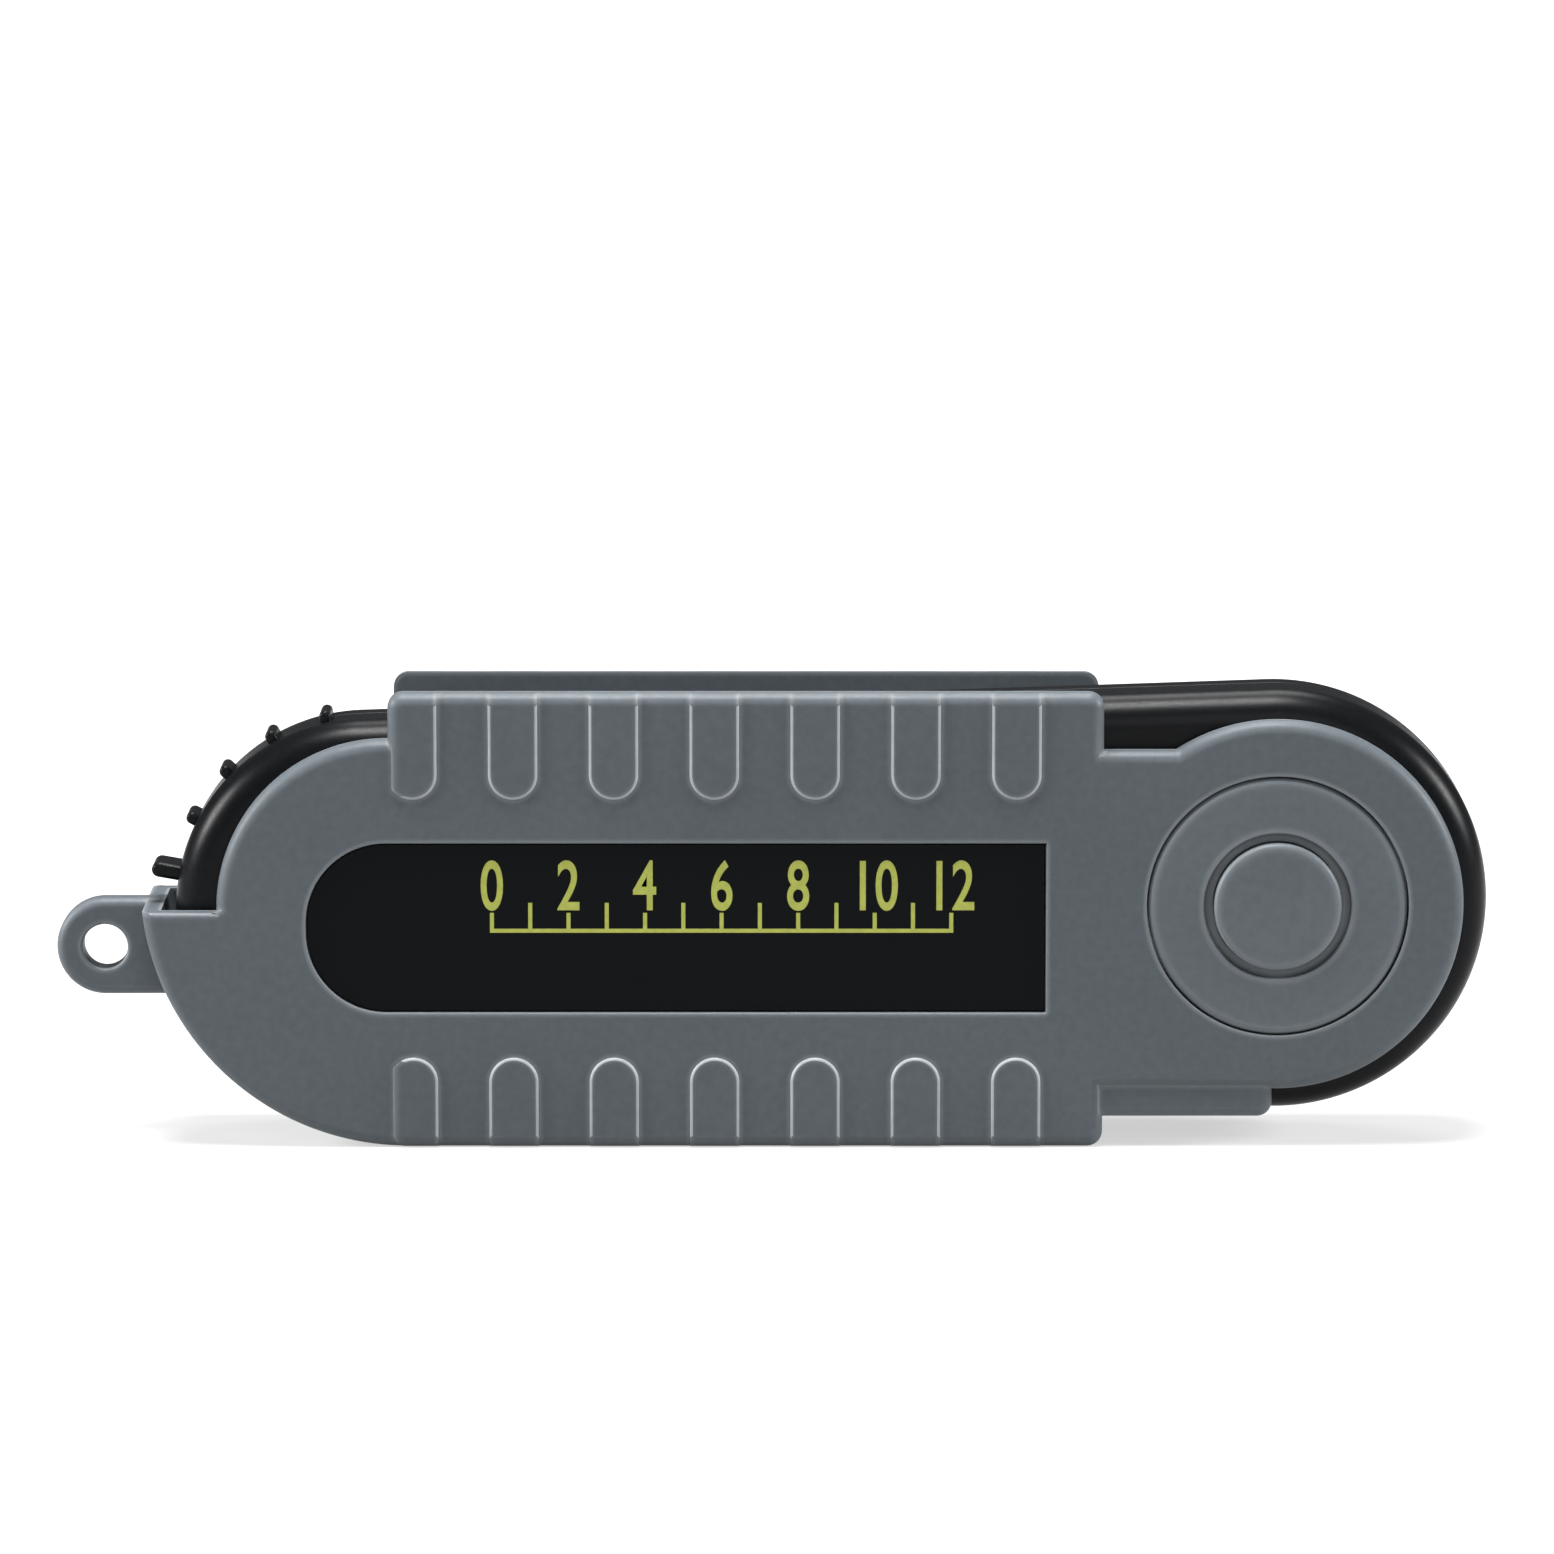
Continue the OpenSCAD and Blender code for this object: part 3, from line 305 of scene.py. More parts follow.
def dress(material, *nodes):
    """Gives CAD nodes that keep their own shape a better material."""
    for node in nodes:
        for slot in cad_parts[node].material_slots:
            slot.material = material


# ABS moulded against a fine spark-eroded steel face: satin, with a grain of about 0.2 mm drawn at 0.35 mm so
# that it shows, faint flow clouds a few centimetres wide, edges painted in the worn colour over a rim of
# about half a millimetre, partly as rubbed wear and partly as a painted highlight, and painted shade that
# darkens the corners and grooves.
def moulded_plastic(name, base, worn, roughness, grain=0.35, depth=0.012, cloud=0.05, gloss=0.5, rim=0.4,
                    crevice_shade=0.25):
    material, add, spot = new_material(name)
    fine = add("TexNoise", {"Scale": 1000 / grain, "Detail": 3, "Roughness": 0.6}, Vector=spot)
    clouds = add("TexNoise", {"Scale": 45, "Detail": 2}, Vector=spot)
    speckle = add("TexNoise", {"Scale": 1100, "Detail": 3}, Vector=spot)
    shade = add("MapRange", {"From": (0.3, 0.7), "To": (1 - cloud, 1 + cloud)}, Value=clouds)
    fleck = add("MapRange", {"From": (0.3, 0.7), "To": (1 - cloud * 1.4, 1 + cloud * 1.4)}, Value=speckle)
    both = add("Math", {"operation": "MULTIPLY"}, _0=shade, _1=fleck)
    tone = add("HueSaturation", {"Color": colour(base)}, Value=both)
    # Edges, convex and concave alike, turn to the worn colour: partly rubbed wear, partly a painted
    # highlight.
    soft = add("Bevel", {"Radius": rim / 1000, "samples": 4})
    flat = add("NewGeometry").outputs["Normal"]
    turn = add("VectorMath", {"operation": "DOT_PRODUCT"}, _0=soft, _1=flat)
    edge_wear_and_highlight = add("MapRange", {"From": (0.995, 0.93), "To": (0, 0.6)}, Value=turn.outputs["Value"])
    rubbed_and_highlit = add("Mix", {"data_type": "RGBA", 7: colour(worn)}, _0=edge_wear_and_highlight, _6=tone)
    # Painted shade: the colour darkens in corners, grooves and recesses that ambient occlusion finds.
    corner = add("AmbientOcclusion", {"Distance": 0.0012, "samples": 4, "only_local": True})
    painted_shade = add("MapRange", {"From": (0.35, 0.85), "To": (1 - crevice_shade, 1)}, Value=corner.outputs["AO"])
    body = add("HueSaturation", Color=rubbed_and_highlit.outputs[2], Value=painted_shade)
    sheen = add("MapRange", {"From": (0.25, 0.75), "To": (roughness - 0.06, roughness + 0.06)}, Value=fine)
    bump = add("Bump", {"Strength": 0.5, "Distance": depth / 1000}, Height=fine)
    shader = add("BsdfPrincipled", {"IOR": 1.5, "Specular IOR Level": gloss},
                 Base_Color=body, Roughness=sheen, Normal=bump)
    add("OutputMaterial", Surface=shader)
    return material


# The cover's edges take the lighter rim over 0.8 mm, partly wear and partly a painted highlight.
cover_abs = moulded_plastic("grey_abs_satin", "#51585d", "#979ca0", 0.48, gloss=0.28, rim=0.8)

# The same ABS on the ribs' rounded shoulders: smoother where thumbs have rubbed the grain off, and painted
# lighter, partly for that wear and partly as a painted highlight.
rubbed_highlit_abs = moulded_plastic("grey_abs_rubbed_highlit", "#9da2a6", "#acb1b5", 0.4, depth=0.004, gloss=0.3)

FLANGE_LEFT = -88.3
FLANGE_RIGHT = -17.3
FLANGE_TOP = 21.3
SPINE_BOTTOM = -PIVOT_HEIGHT
SPINE_TOP = -21.4
CORNER_R = 1.5
PLATE_END_R = 18.5
NOTCH_Y = 15.5
LEDGE_Y = -0.7
HEEL_X = -86.5
HEEL_Y = 2.15
HEEL_R = 26.45
END_WALL_T = 1.8
LIP_Z1 = COVER_T - 0.4
PIVOT_HOLE_R = 13
RIB_COUNT = 7
RIB_PITCH = 9.983
RIB_W = 4.9
RIB_Z1 = COVER_T + 0.3
RIB_TOP_END = FLANGE_TOP - 10.6
RIB_LOW_END = SPINE_BOTTOM + 9.1
RIB_EDGE_R = 0.27


def flange(name, inset, z0, z1):
    """The tall straight middle of a plate, with its four corners rounded."""
    block = bar(name, FLANGE_LEFT + inset, FLANGE_RIGHT - inset, SPINE_BOTTOM + inset, FLANGE_TOP - inset,
                z0, z1)
    round_edges(block, upright, CORNER_R, 8)
    return block


def grip_ribs():
    """Seven ribs along each edge, round at their inner ends, following the rounded edges of the flange."""
    raised = flange("ribs", 0.02, COVER_T - 2, RIB_Z1)
    round_edges(raised, at_height(RIB_Z1), EDGE_R, 7)
    low, high = COVER_T - EDGE_R, COVER_T + 1
    columns = []
    for i in range(RIB_COUNT):
        x = FLANGE_LEFT + RIB_W / 2 + i * RIB_PITCH
        left = x - RIB_W / 2 - (1 if i == 0 else 0)
        for y, y_end in ((RIB_TOP_END + RIB_W / 2, FLANGE_TOP + 1),
                         (RIB_LOW_END - RIB_W / 2, SPINE_BOTTOM - 1)):
            shank = bar("shank", left, x + RIB_W / 2, min(y, y_end), max(y, y_end), low, high)
            columns.append(combine(disc("column", x, y, RIB_W / 2, low, high, 64), shank))
    combine(raised, join(columns), how="INTERSECT")
    merge_flats(raised)
    return raised


def rib_edge(points):
    """Chooses the upper edges of the ribs, except where they follow the flange's own rounded rim."""
    return (all(p.z > RIB_Z1 - 0.02 for p in points)
            and any(SPINE_BOTTOM + EDGE_R + 0.2 < p.y < FLANGE_TOP - EDGE_R - 0.2
                    and p.x > FLANGE_LEFT + EDGE_R + 0.2 for p in points))


def on_ledge(points):
    """Chooses the edges of the ledge at the top of the end wall."""
    return all(abs(p.y - LEDGE_Y) < 0.01 for p in points)


def cover_half(name):
    """One half of the cover with its outer face up."""
    heel = cut(disc("heel", HEEL_X, HEEL_Y, HEEL_R, COVER_MID, COVER_T),
               bar("above", -FAR, FAR, LEDGE_Y, FAR, 0, FAR),
               bar("beside", HEEL_X + 5, FAR, -FAR, FAR, 0, FAR))
    half = combine(disc(name, 0, 0, PLATE_END_R, COVER_MID, COVER_T),
                   bar("neck", FLANGE_RIGHT - 3, -0.5, -PLATE_END_R + 0.02, NOTCH_Y, COVER_MID, COVER_T),
                   disc("nose", FLANGE_LEFT - 0.1, -0.4, 17, COVER_MID, COVER_T),
                   heel,
                   flange("flange", 0, COVER_MID, COVER_T))
    merge_flats(half)
    round_edges(half, lambda points: at_height(COVER_T)(points) and not on_ledge(points), EDGE_R, 7)
    round_edges(half, lambda points: on_ledge(points) and max(p.z for p in points) > COVER_T - 0.01, 0.4, 4)
    lip = bar("lip", FLANGE_RIGHT - 4, -0.4, -21.3, -PLATE_END_R + 4, COVER_MID, LIP_Z1)
    round_edges(lip, upright, CORNER_R, 8)
    round_edges(lip, at_height(LIP_Z1), 0.9, 6)
    combine(half, lip)
    round_inside = cut(disc("round_inside", HEEL_X, HEEL_Y, HEEL_R - END_WALL_T, 0, PLATE_Z0),
                       bar("below", -FAR, FAR, -FAR, SPINE_TOP, -1, FAR))
    return cut(half,
               bar("inside", HEEL_X, FAR, SPINE_TOP, FAR, 0, PLATE_Z0),
               bar("open_top", -FAR, FAR, LEDGE_Y, FAR, 0, PLATE_Z0),
               bar("open_end", FLANGE_RIGHT, FAR, -FAR, FAR, 0, PLATE_Z0),
               round_inside,
               disc("pivot_hole", 0, 0, PIVOT_HOLE_R, PLATE_Z0 - 1, COVER_T + 1))


LABEL_LEFT = -96.5
LABEL_RIGHT = -23
LABEL_BOTTOM = -10.7
LABEL_TOP = 6.3
LABEL_R = 8
LABEL_DEPTH = 1.1


def label_block(name, inset, z0, z1):
    """The label's outline: square at the right, rounded at the left."""
    block = bar(name, LABEL_LEFT + inset, LABEL_RIGHT - inset, LABEL_BOTTOM + inset, LABEL_TOP - inset,
                z0, z1)
    round_edges(block, lambda points: upright(points) and points[0].x < LABEL_LEFT + 5, LABEL_R - inset, 24)
    return block


def on_circle(x, y, r, z):
    """Chooses the edges that lie on a circle at one height."""
    return lambda points: all(abs(math.hypot(p.x - x, p.y - y) - r) < 0.01 and abs(p.z - z) < 0.01
                              for p in points)


def in_box(x0, x1, y0, y1, z):
    """Chooses the edges that lie at one height inside a rectangle or on its rim."""
    return lambda points: all(x0 - 0.1 < p.x < x1 + 0.1 and y0 - 0.1 < p.y < y1 + 0.1 and abs(p.z - z) < 0.01
                              for p in points)


def finish_ribs(half, choose=rib_edge):
    """Rounds the shoulders of a half's ribs, which take the lighter rubbed finish, partly a painted
    highlight.
    """
    half.data.materials.append(cover_abs)
    half.data.materials.append(rubbed_highlit_abs)
    with edit(half, choose, "EDGE"):
        bpy.ops.mesh.bevel(offset=RIB_EDGE_R / 1000, segments=3, affect="EDGES", material=1)


front_cover = cover_half("front_cover_shell")
cut(front_cover, label_block("pocket", 0, COVER_T - LABEL_DEPTH, COVER_T + 1))
merge_flats(front_cover)
round_edges(front_cover, in_box(LABEL_LEFT, LABEL_RIGHT, LABEL_BOTTOM, LABEL_TOP, COVER_T), 0.18, 2)
round_edges(front_cover, on_circle(0, 0, PIVOT_HOLE_R, COVER_T), 0.15, 2)
combine(front_cover, grip_ribs())
finish_ribs(front_cover)
place(front_cover, "cover", "cover_plastic", cover_abs, "front_cover")

# The rear half is the front's mirror without the label. The lanyard eye is part of it: a flat loop that grows
# out of the end wall at the parting plane. Three screw heads sit in recesses along its spine.
EYE_X = -117.096
EYE_Y = -5.55
EYE_R = 4.85
EYE_HOLE_R = 2.25
EYE_Z1 = COVER_MID + 3.5
COVER_SCREWS = [(x, -22.65) for x in (-21.3, -52.8, -84.3)]
RECESS_R = 1.3


def rib_edge_off_screws(points):
    """Chooses the ribs' upper edges, but not the rims of the screw recesses that bite into them."""
    return rib_edge(points) and any(
        all(math.hypot(p.x - x, p.y - y) > RECESS_R + 0.02 for x, y in COVER_SCREWS) for p in points)


rear_cover = cover_half("rear_cover_shell")
eye = combine(disc("eye", EYE_X, EYE_Y, EYE_R, COVER_MID, EYE_Z1, 96),
              bar("root", EYE_X, HEEL_X - 10, EYE_Y - EYE_R, EYE_Y + EYE_R, COVER_MID, EYE_Z1))
merge_flats(eye)
for z in (COVER_MID, EYE_Z1):
    round_edges(eye, at_height(z), 0.8, 6)
cut(eye, disc("hole", EYE_X, EYE_Y, EYE_HOLE_R, 0, COVER_T, 96))
for z in (COVER_MID, EYE_Z1):
    round_edges(eye, on_circle(EYE_X, EYE_Y, EYE_HOLE_R, z), 0.3, 3)
cut(eye, disc("wall", HEEL_X, HEEL_Y, HEEL_R - END_WALL_T / 2, 0, COVER_T))
combine(rear_cover, eye)
merge_flats(rear_cover)
round_edges(rear_cover, on_circle(0, 0, PIVOT_HOLE_R, COVER_T), 0.15, 2)
combine(rear_cover, grip_ribs())
cut(rear_cover, discs("head_recesses", COVER_SCREWS, RECESS_R, COVER_T - 1.4, COVER_T + 1),
    discs("screw_holes", COVER_SCREWS, 0.9, COVER_MID - 1, COVER_T - 1))
finish_ribs(rear_cover, rib_edge_off_screws)
rear_cover.scale = (1, 1, -1)
move(rear_cover, z=COVER_T)
with edit(rear_cover):
    bpy.ops.mesh.normals_make_consistent()
place(rear_cover, "cover", "cover_plastic", cover_abs, "rear_cover")

# Front label. A black polycarbonate plate glued into the pocket, printed on its face in yellow-green with
# a plain scale of wind force, 0 to 12, whose figures are tall and narrow.
LABEL_Z0 = COVER_T - LABEL_DEPTH
LABEL_Z1 = LABEL_Z0 + 0.6
TOP_FORCE = 12
SCALE_LEFT = -78
SCALE_STEP = 3.8
SCALE_FOOT = -2.3
LINE_HALF = 0.2
LONG_TICK = 2.6
SHORT_TICK = 1.6
FIGURE_FOOT = -0.35
FIGURE_SIZE = 7
FIGURE_NARROW = 0.68
FIGURE_BOLD = 0.09
INK_T = 0.02


# Polycarbonate: glossy black, with a very faint unevenness and hair scratches that only the gloss shows.
def polished_plastic(name, base, roughness, gloss=0.5):
    material, add, spot = new_material(name)
    wave = add("TexNoise", {"Scale": 60, "Detail": 3}, Vector=spot)
    stretch = add("Mapping", {"Scale": (40, 900, 900)}, Vector=spot)
    hairs = add("TexNoise", {"Scale": 3, "Detail": 4}, Vector=stretch)
    dust = add("MapRange", {"From": (0.62, 0.8), "To": (0, 0.12)}, Value=hairs)
    sheen = add("MapRange", {"From": (0.3, 0.7), "To": (roughness * 0.8, roughness * 1.25)}, Value=wave)
    rough = add("Math", {"operation": "ADD"}, _0=sheen, _1=dust)
    tone = add("MapRange", {"From": (0.3, 0.7), "To": (0.85, 1.15)}, Value=wave)
    body = add("HueSaturation", {"Color": colour(base)}, Value=tone)
    shader = add("BsdfPrincipled", {"IOR": 1.58, "Specular IOR Level": gloss},
                 Base_Color=body, Roughness=rough)
    add("OutputMaterial", Surface=shader)
    return material


# Screen ink: flat, nearly matt, a few hundredths of a millimetre thick and slightly uneven in cover.
def screen_ink(name, base):
    material, add, spot = new_material(name)
    cover = add("TexNoise", {"Scale": 1400, "Detail": 2}, Vector=spot)
    tone = add("MapRange", {"From": (0.3, 0.7), "To": (0.9, 1.08)}, Value=cover)
    body = add("HueSaturation", {"Color": colour(base)}, Value=tone)
    add("OutputMaterial", Surface=add("BsdfPrincipled", {"Roughness": 0.5}, Base_Color=body))
    return material


label_black = polished_plastic("black_polycarbonate", "#080a0c", 0.3, gloss=0.05)
scale_ink = screen_ink("yellow_green_ink", "#a7ae4a")

label = label_block("front_label_plate", 0.1, LABEL_Z0, LABEL_Z1)
round_edges(label, at_height(LABEL_Z1), 0.12, 2)
place(label, "cover", "label_gloss", label_black, "front_label")


def figure(text, x, y, z):
    """A figure of print, centred on x and standing on y."""
    nothing_selected()
    bpy.ops.object.text_add()
    letters = bpy.context.object
    letters.data.body = text
    letters.data.align_x = "CENTER"
    letters.data.size = FIGURE_SIZE / 1000
    letters.data.resolution_u = 6
    letters.data.offset = FIGURE_BOLD / 1000
    letters.data.extrude = INK_T / 2000
    bpy.ops.object.convert(target="MESH")
    letters.scale = (FIGURE_NARROW, 1, 1)
    return move(letters, x, y, z + INK_T / 2)


def line(name, x0, x1, y0, y1, z):
    """A bar of print on a face at height z."""
    return bar(name, x0, x1, y0, y1, z, z + INK_T)


marks = []
for force in range(TOP_FORCE + 1):
    x = SCALE_LEFT + force * SCALE_STEP
    tick = LONG_TICK if force % 2 else SHORT_TICK
    marks.append(line("tick", x - LINE_HALF, x + LINE_HALF, SCALE_FOOT, SCALE_FOOT + tick, LABEL_Z1))
    if force % 2 == 0:
        marks.append(figure(str(force), x, FIGURE_FOOT, LABEL_Z1))
marks.append(line("rule", SCALE_LEFT - LINE_HALF, SCALE_LEFT + TOP_FORCE * SCALE_STEP + LINE_HALF,
                  SCALE_FOOT - 2 * LINE_HALF, SCALE_FOOT, LABEL_Z1))
place(join(marks, "label_scale"), "cover", "label_gloss", scale_ink, smooth=None)

# Screws. Zinc-plated steel, with their heads to the rear: slotted ones along the spine, and ones with a cross
# in the pivot disc and in the meter's case. Each head is rounded at its rim.
POST_CIRCLE_R = 9.6
POST_TURNS = (90, 210, 330)
POSTS = [(POST_CIRCLE_R * math.cos(math.radians(a)), POST_CIRCLE_R * math.sin(math.radians(a)))
         for a in POST_TURNS]
CASE_SCREWS = ((-21, 15.2), (-21, -15.2), (-70.2, 13.6), (-70.2, -13.6))
HEAD_EDGE_R = 0.25
SLOT_W = 0.42
CROSS = (0, 90)


# Plated steel: bright, dulled a little in patches, and darkened with painted shade in the recesses.
def plated_steel(name, base, roughness):
    material, add, spot = new_material(name)
    patches = add("TexNoise", {"Scale": 500, "Detail": 3}, Vector=spot)
    fine = add("TexNoise", {"Scale": 5000, "Detail": 2}, Vector=spot)
    sheen = add("MapRange", {"From": (0.3, 0.7), "To": (roughness - 0.08, roughness + 0.1)}, Value=patches)
    tone = add("MapRange", {"From": (0.3, 0.7), "To": (0.88, 1.06)}, Value=patches)
    worn = add("HueSaturation", {"Color": colour(base)}, Value=tone)
    # Painted shade: the colour darkens in recesses such as the screws' slots and crosses.
    recess = add("AmbientOcclusion", {"Distance": 0.001, "samples": 4, "only_local": True})
    painted_shade = add("MapRange", {"From": (0.3, 0.85), "To": (0.15, 1)}, Value=recess.outputs["AO"])
    body = add("HueSaturation", Color=worn, Value=painted_shade)
    bump = add("Bump", {"Strength": 0.3, "Distance": 0.000004}, Height=fine)
    shader = add("BsdfPrincipled", {"Metallic": 1}, Base_Color=body, Roughness=sheen, Normal=bump)
    add("OutputMaterial", Surface=shader)
    return material


zinc_steel = plated_steel("zinc_plated_steel", "#b3b5b8", 0.32)


def copy_of(piece, x=0, y=0, z=0, turn=0):
    """A copy of a piece with its own mesh, turned about z and moved."""
    twin = piece.copy()
    twin.data = piece.data.copy()
    bpy.context.scene.collection.objects.link(twin)
    return move(twin, x, y, z, turn=turn)


def copies(piece, places):
    """Copies of a piece, each at its x and y and turned, in the piece's stead."""
    made = [copy_of(piece, x, y, turn=turn) for x, y, turn in places]
    bpy.data.objects.remove(piece)
    return made


def screw_set(node, body, head, shank, slot, turns, places):
    """Like screws: a head's z, radius and thickness, a shank's radius and tip, a slot's reach and depth."""
    z, head_r, head_t = head
    screw = disc("screw", 0, 0, head_r, z, z + head_t, 64)
    round_edges(screw, at_height(z), HEAD_EDGE_R, 4)
    combine(screw, disc("shank", 0, 0, shank[0], z + head_t - 0.1, shank[1], 48))
    groove = bar("slot", -slot[0], slot[0], -SLOT_W / 2, SLOT_W / 2, z - 1, z + slot[1])
    cut(screw, *copies(groove, [(0, 0, turn) for turn in turns]))
    place(join(copies(screw, places), node + "_turned"), body, "screw_steel", zinc_steel, node)


screw_set("cover_screws", "cover", (0.5, 1.2, 0.9), (0.8, 13.7), (1.4, 0.4), CROSS[1:],
          [(x, y, 0) for x, y in COVER_SCREWS])
screw_set("pivot_screws", "meter", (0.1, 1.9, 1.2), (1, 13), (1.25, 0.8), CROSS,
          [(x, y, turn) for (x, y), turn in zip(POSTS, POST_TURNS)])
screw_set("case_screws", "meter", (2.6, 1.7, 1.1), (0.9, 12.7), (1.1, 0.7), CROSS,
          [(x, y, 0) for x, y in CASE_SCREWS])

# Pivot. A front and a rear disc of the cover's grey ABS, clamped to the meter through the holes in the
# plates. The front one carries the round release button in its middle, with a groove round it that the disc's
# material darkens with painted shade.
DISC_R = 12.9
DISC_Z0 = COVER_T - 1.65
GROOVE_R = 7.3
GROOVE_DEPTH = 0.9
BUTTON_R = 6.35
BUTTON_GAP = 0.1
BUTTON_Z0 = 16.25
BUTTON_Z1 = COVER_T + 0.5
STEM_R = 3
STEM_Z0 = 10.9
POST_R = 2
SPLIT_Z = 8.4
METER_Z0 = 2.5

# The discs come from another mould than the plates and are a shade lighter. Their rims are painted lighter
# over a wider band as a painted highlight, and their groove is darkened strongly with painted shade.
disc_abs = moulded_plastic("grey_abs_disc", "#585f64", "#8f959a", 0.46, gloss=0.3, rim=1.3, crevice_shade=0.85)

front_disc = disc("front_disc", 0, 0, DISC_R, DISC_Z0, COVER_T)
round_edges(front_disc, at_height(COVER_T), 0.7, 6)
cut(front_disc, disc("groove", 0, 0, GROOVE_R, COVER_T - GROOVE_DEPTH, COVER_T + 1),
    disc("button_hole", 0, 0, BUTTON_R + BUTTON_GAP, DISC_Z0 - 1, COVER_T + 1))
round_edges(front_disc, on_circle(0, 0, GROOVE_R, COVER_T), 0.18, 3)
combine(front_disc, discs("posts", POSTS, POST_R, SPLIT_Z, DISC_Z0 + 0.5))
place(front_disc, "meter", "cover_plastic", disc_abs, "front_pivot_disc")

rear_disc = disc("rear_disc", 0, 0, DISC_R, 0, METER_Z0)
round_edges(rear_disc, at_height(0), 0.35, 4)
cut(rear_disc, cut(disc("ring", 0, 0, GROOVE_R, -1, GROOVE_DEPTH), disc("middle", 0, 0, BUTTON_R, -2, 1)))
round_edges(rear_disc, on_circle(0, 0, GROOVE_R, 0), 0.15, 2)
round_edges(rear_disc, on_circle(0, 0, BUTTON_R, 0), 0.3, 3)
cut(rear_disc, discs("recesses", POSTS, 2, -1, 1.3), discs("holes", POSTS, 1.1, -1, METER_Z0 + 1))
place(rear_disc, "meter", "cover_plastic", disc_abs, "rear_pivot_disc")


def hollow(piece, z, *steps):
    """Hollows a round top face very slightly for a finger, by insets each with its drop."""
    with edit(piece, at_height(z)):
        for inset, drop in steps:
            bpy.ops.mesh.inset(thickness=inset / 1000)
            bpy.ops.transform.translate(value=(0, 0, -drop / 1000))


# Release button. A grey ABS cap on a stem, its rim rounded and its face very slightly hollow for the thumb.
button = disc("button_cap", 0, 0, BUTTON_R, BUTTON_Z0, BUTTON_Z1)
round_edges(button, at_height(BUTTON_Z1), 0.5, 6)
hollow(button, BUTTON_Z1, (0.8, 0), (2.2, 0.08), (2, 0.05))
combine(button, disc("stem", 0, 0, STEM_R, STEM_Z0, BUTTON_Z0 + 0.5, 96))
place(button, "release", "cover_plastic", disc_abs, "release_button")

# Brake plate and release spring, hidden in the pocket of the case. The plate is stamped from spring steel.
# The spring is coiled from round wire with its end turns closed, and shortens as the button goes in.
COIL_R = 4.1
WIRE_R = 0.3
SPRING_Z0 = 9.8
SPRING_Z1 = 15.45
OPEN_TURNS = 3
CLOSED_PITCH = 2.1 * WIRE_R
spring_steel = plated_steel("spring_steel", "#9a9da1", 0.28)
dress(spring_steel, "brake_plate")


def coil(name, z, pitch, turns):
    """Turns of round wire, swept from one ring of points."""
    nothing_selected()
    bpy.ops.mesh.primitive_circle_add(vertices=10, radius=WIRE_R / 1000,
                                      location=(COIL_R / 1000, 0, z / 1000), rotation=(math.pi / 2, 0, 0))
    wire = named(name)
    sweep = wire.modifiers.new("sweep", "SCREW")
    sweep.screw_offset = pitch / 1000
    sweep.iterations = turns
    sweep.steps = 36
    sweep.render_steps = 36
    bpy.ops.object.modifier_apply(modifier=sweep.name)
    return wire


low_z = SPRING_Z0 + WIRE_R
open_z = low_z + CLOSED_PITCH
high_z = SPRING_Z1 - WIRE_R - CLOSED_PITCH
spring = join([coil("spring_wire", low_z, CLOSED_PITCH, 1),
               coil("open", open_z, (high_z - open_z) / OPEN_TURNS, OPEN_TURNS),
               coil("top", high_z, CLOSED_PITCH, 1)])
with edit(spring):
    bpy.ops.mesh.remove_doubles(threshold=1e-6)
    bpy.ops.mesh.fill_holes(sides=0)
    bpy.ops.mesh.normals_make_consistent()
place(spring, "meter", "screw_steel", spring_steel, "release_spring", smooth=60)
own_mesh(spring)

# Case of the meter. Two black ABS shells that meet in a fine line round the side, with full round edges,
# a round end at the pivot and another round the vane duct, and small ribs for the thumb on that end.
HEAD_X = -90.7
HEAD_Y = -1
HEAD_R = 19
PIVOT_END_R = 21.1
METER_Z1 = 15.9
CASE_WALL = 1.6
CASE_EDGE_R = 3.4
INNER_Z0 = 4.1
INNER_Z1 = 13.9
UNDER_FACE = 12.9
POST_BOSS_R = 3.4
SCREW_BOSS_R = 2.6
BOARD_POST_R = 1.4
POCKET_R = 16.3
BORE_R = 14.4
TUBE_R = 15.8
LCD_LEFT = -65.5
LCD_RIGHT = -34.5
WINDOW_REACH = 1.5
SEAT_HALF = 14
KEYS_X = -26.5
KEY_YS = (-10.4, 0, 10.4)
KEY_HOLE_R = 3.5
GRILLE_X = -76
GRILLE_Y = 10.2
GRILLE_HOLE_R = 2.25
BOARD_POSTS = ((-32.6, 13), (-32.6, -13), (-75.5, -10.5))
BOARD_Z0 = 8.9
BOARD_Z1 = 9.9

case_abs = moulded_plastic("black_abs_satin", "#0c0d0f", "#1f2123", 0.32, grain=0.3, depth=0.003, cloud=0.08,
                           gloss=0.1)


def case_block(name, inset, z0, z1):
    """The case's outline: two round ends joined by straight tangents."""
    block = join([disc(name, 0, 0, PIVOT_END_R - inset, z0, z1, 160),
                  disc("head", HEAD_X, HEAD_Y, HEAD_R - inset, z0, z1, 160)])
    with edit(block):
        bpy.ops.mesh.convex_hull()
    merge_flats(block)
    return block


def case_half(name, z0, z1, face_z, hollow_z0, hollow_z1):
    """A rounded half of the case, hollowed out with the wall of the vane duct left standing."""
    half = case_block(name, 0, z0, z1)
    round_edges(half, at_height(face_z), CASE_EDGE_R, 14)
    round_edges(half, at_height(SPLIT_Z), 0.1, 1)
    tube = disc("tube", HEAD_X, HEAD_Y, TUBE_R, hollow_z0 - 1, hollow_z1 + 1)
    return cut(half, cut(case_block("hollow", CASE_WALL, hollow_z0, hollow_z1), tube))


def over_display(name, inset, half, z0, z1):
    """A block set in from both ends of the display's opening, and as wide to both sides."""
    return bar(name, LCD_LEFT + inset, LCD_RIGHT - inset, -half, half, z0, z1)


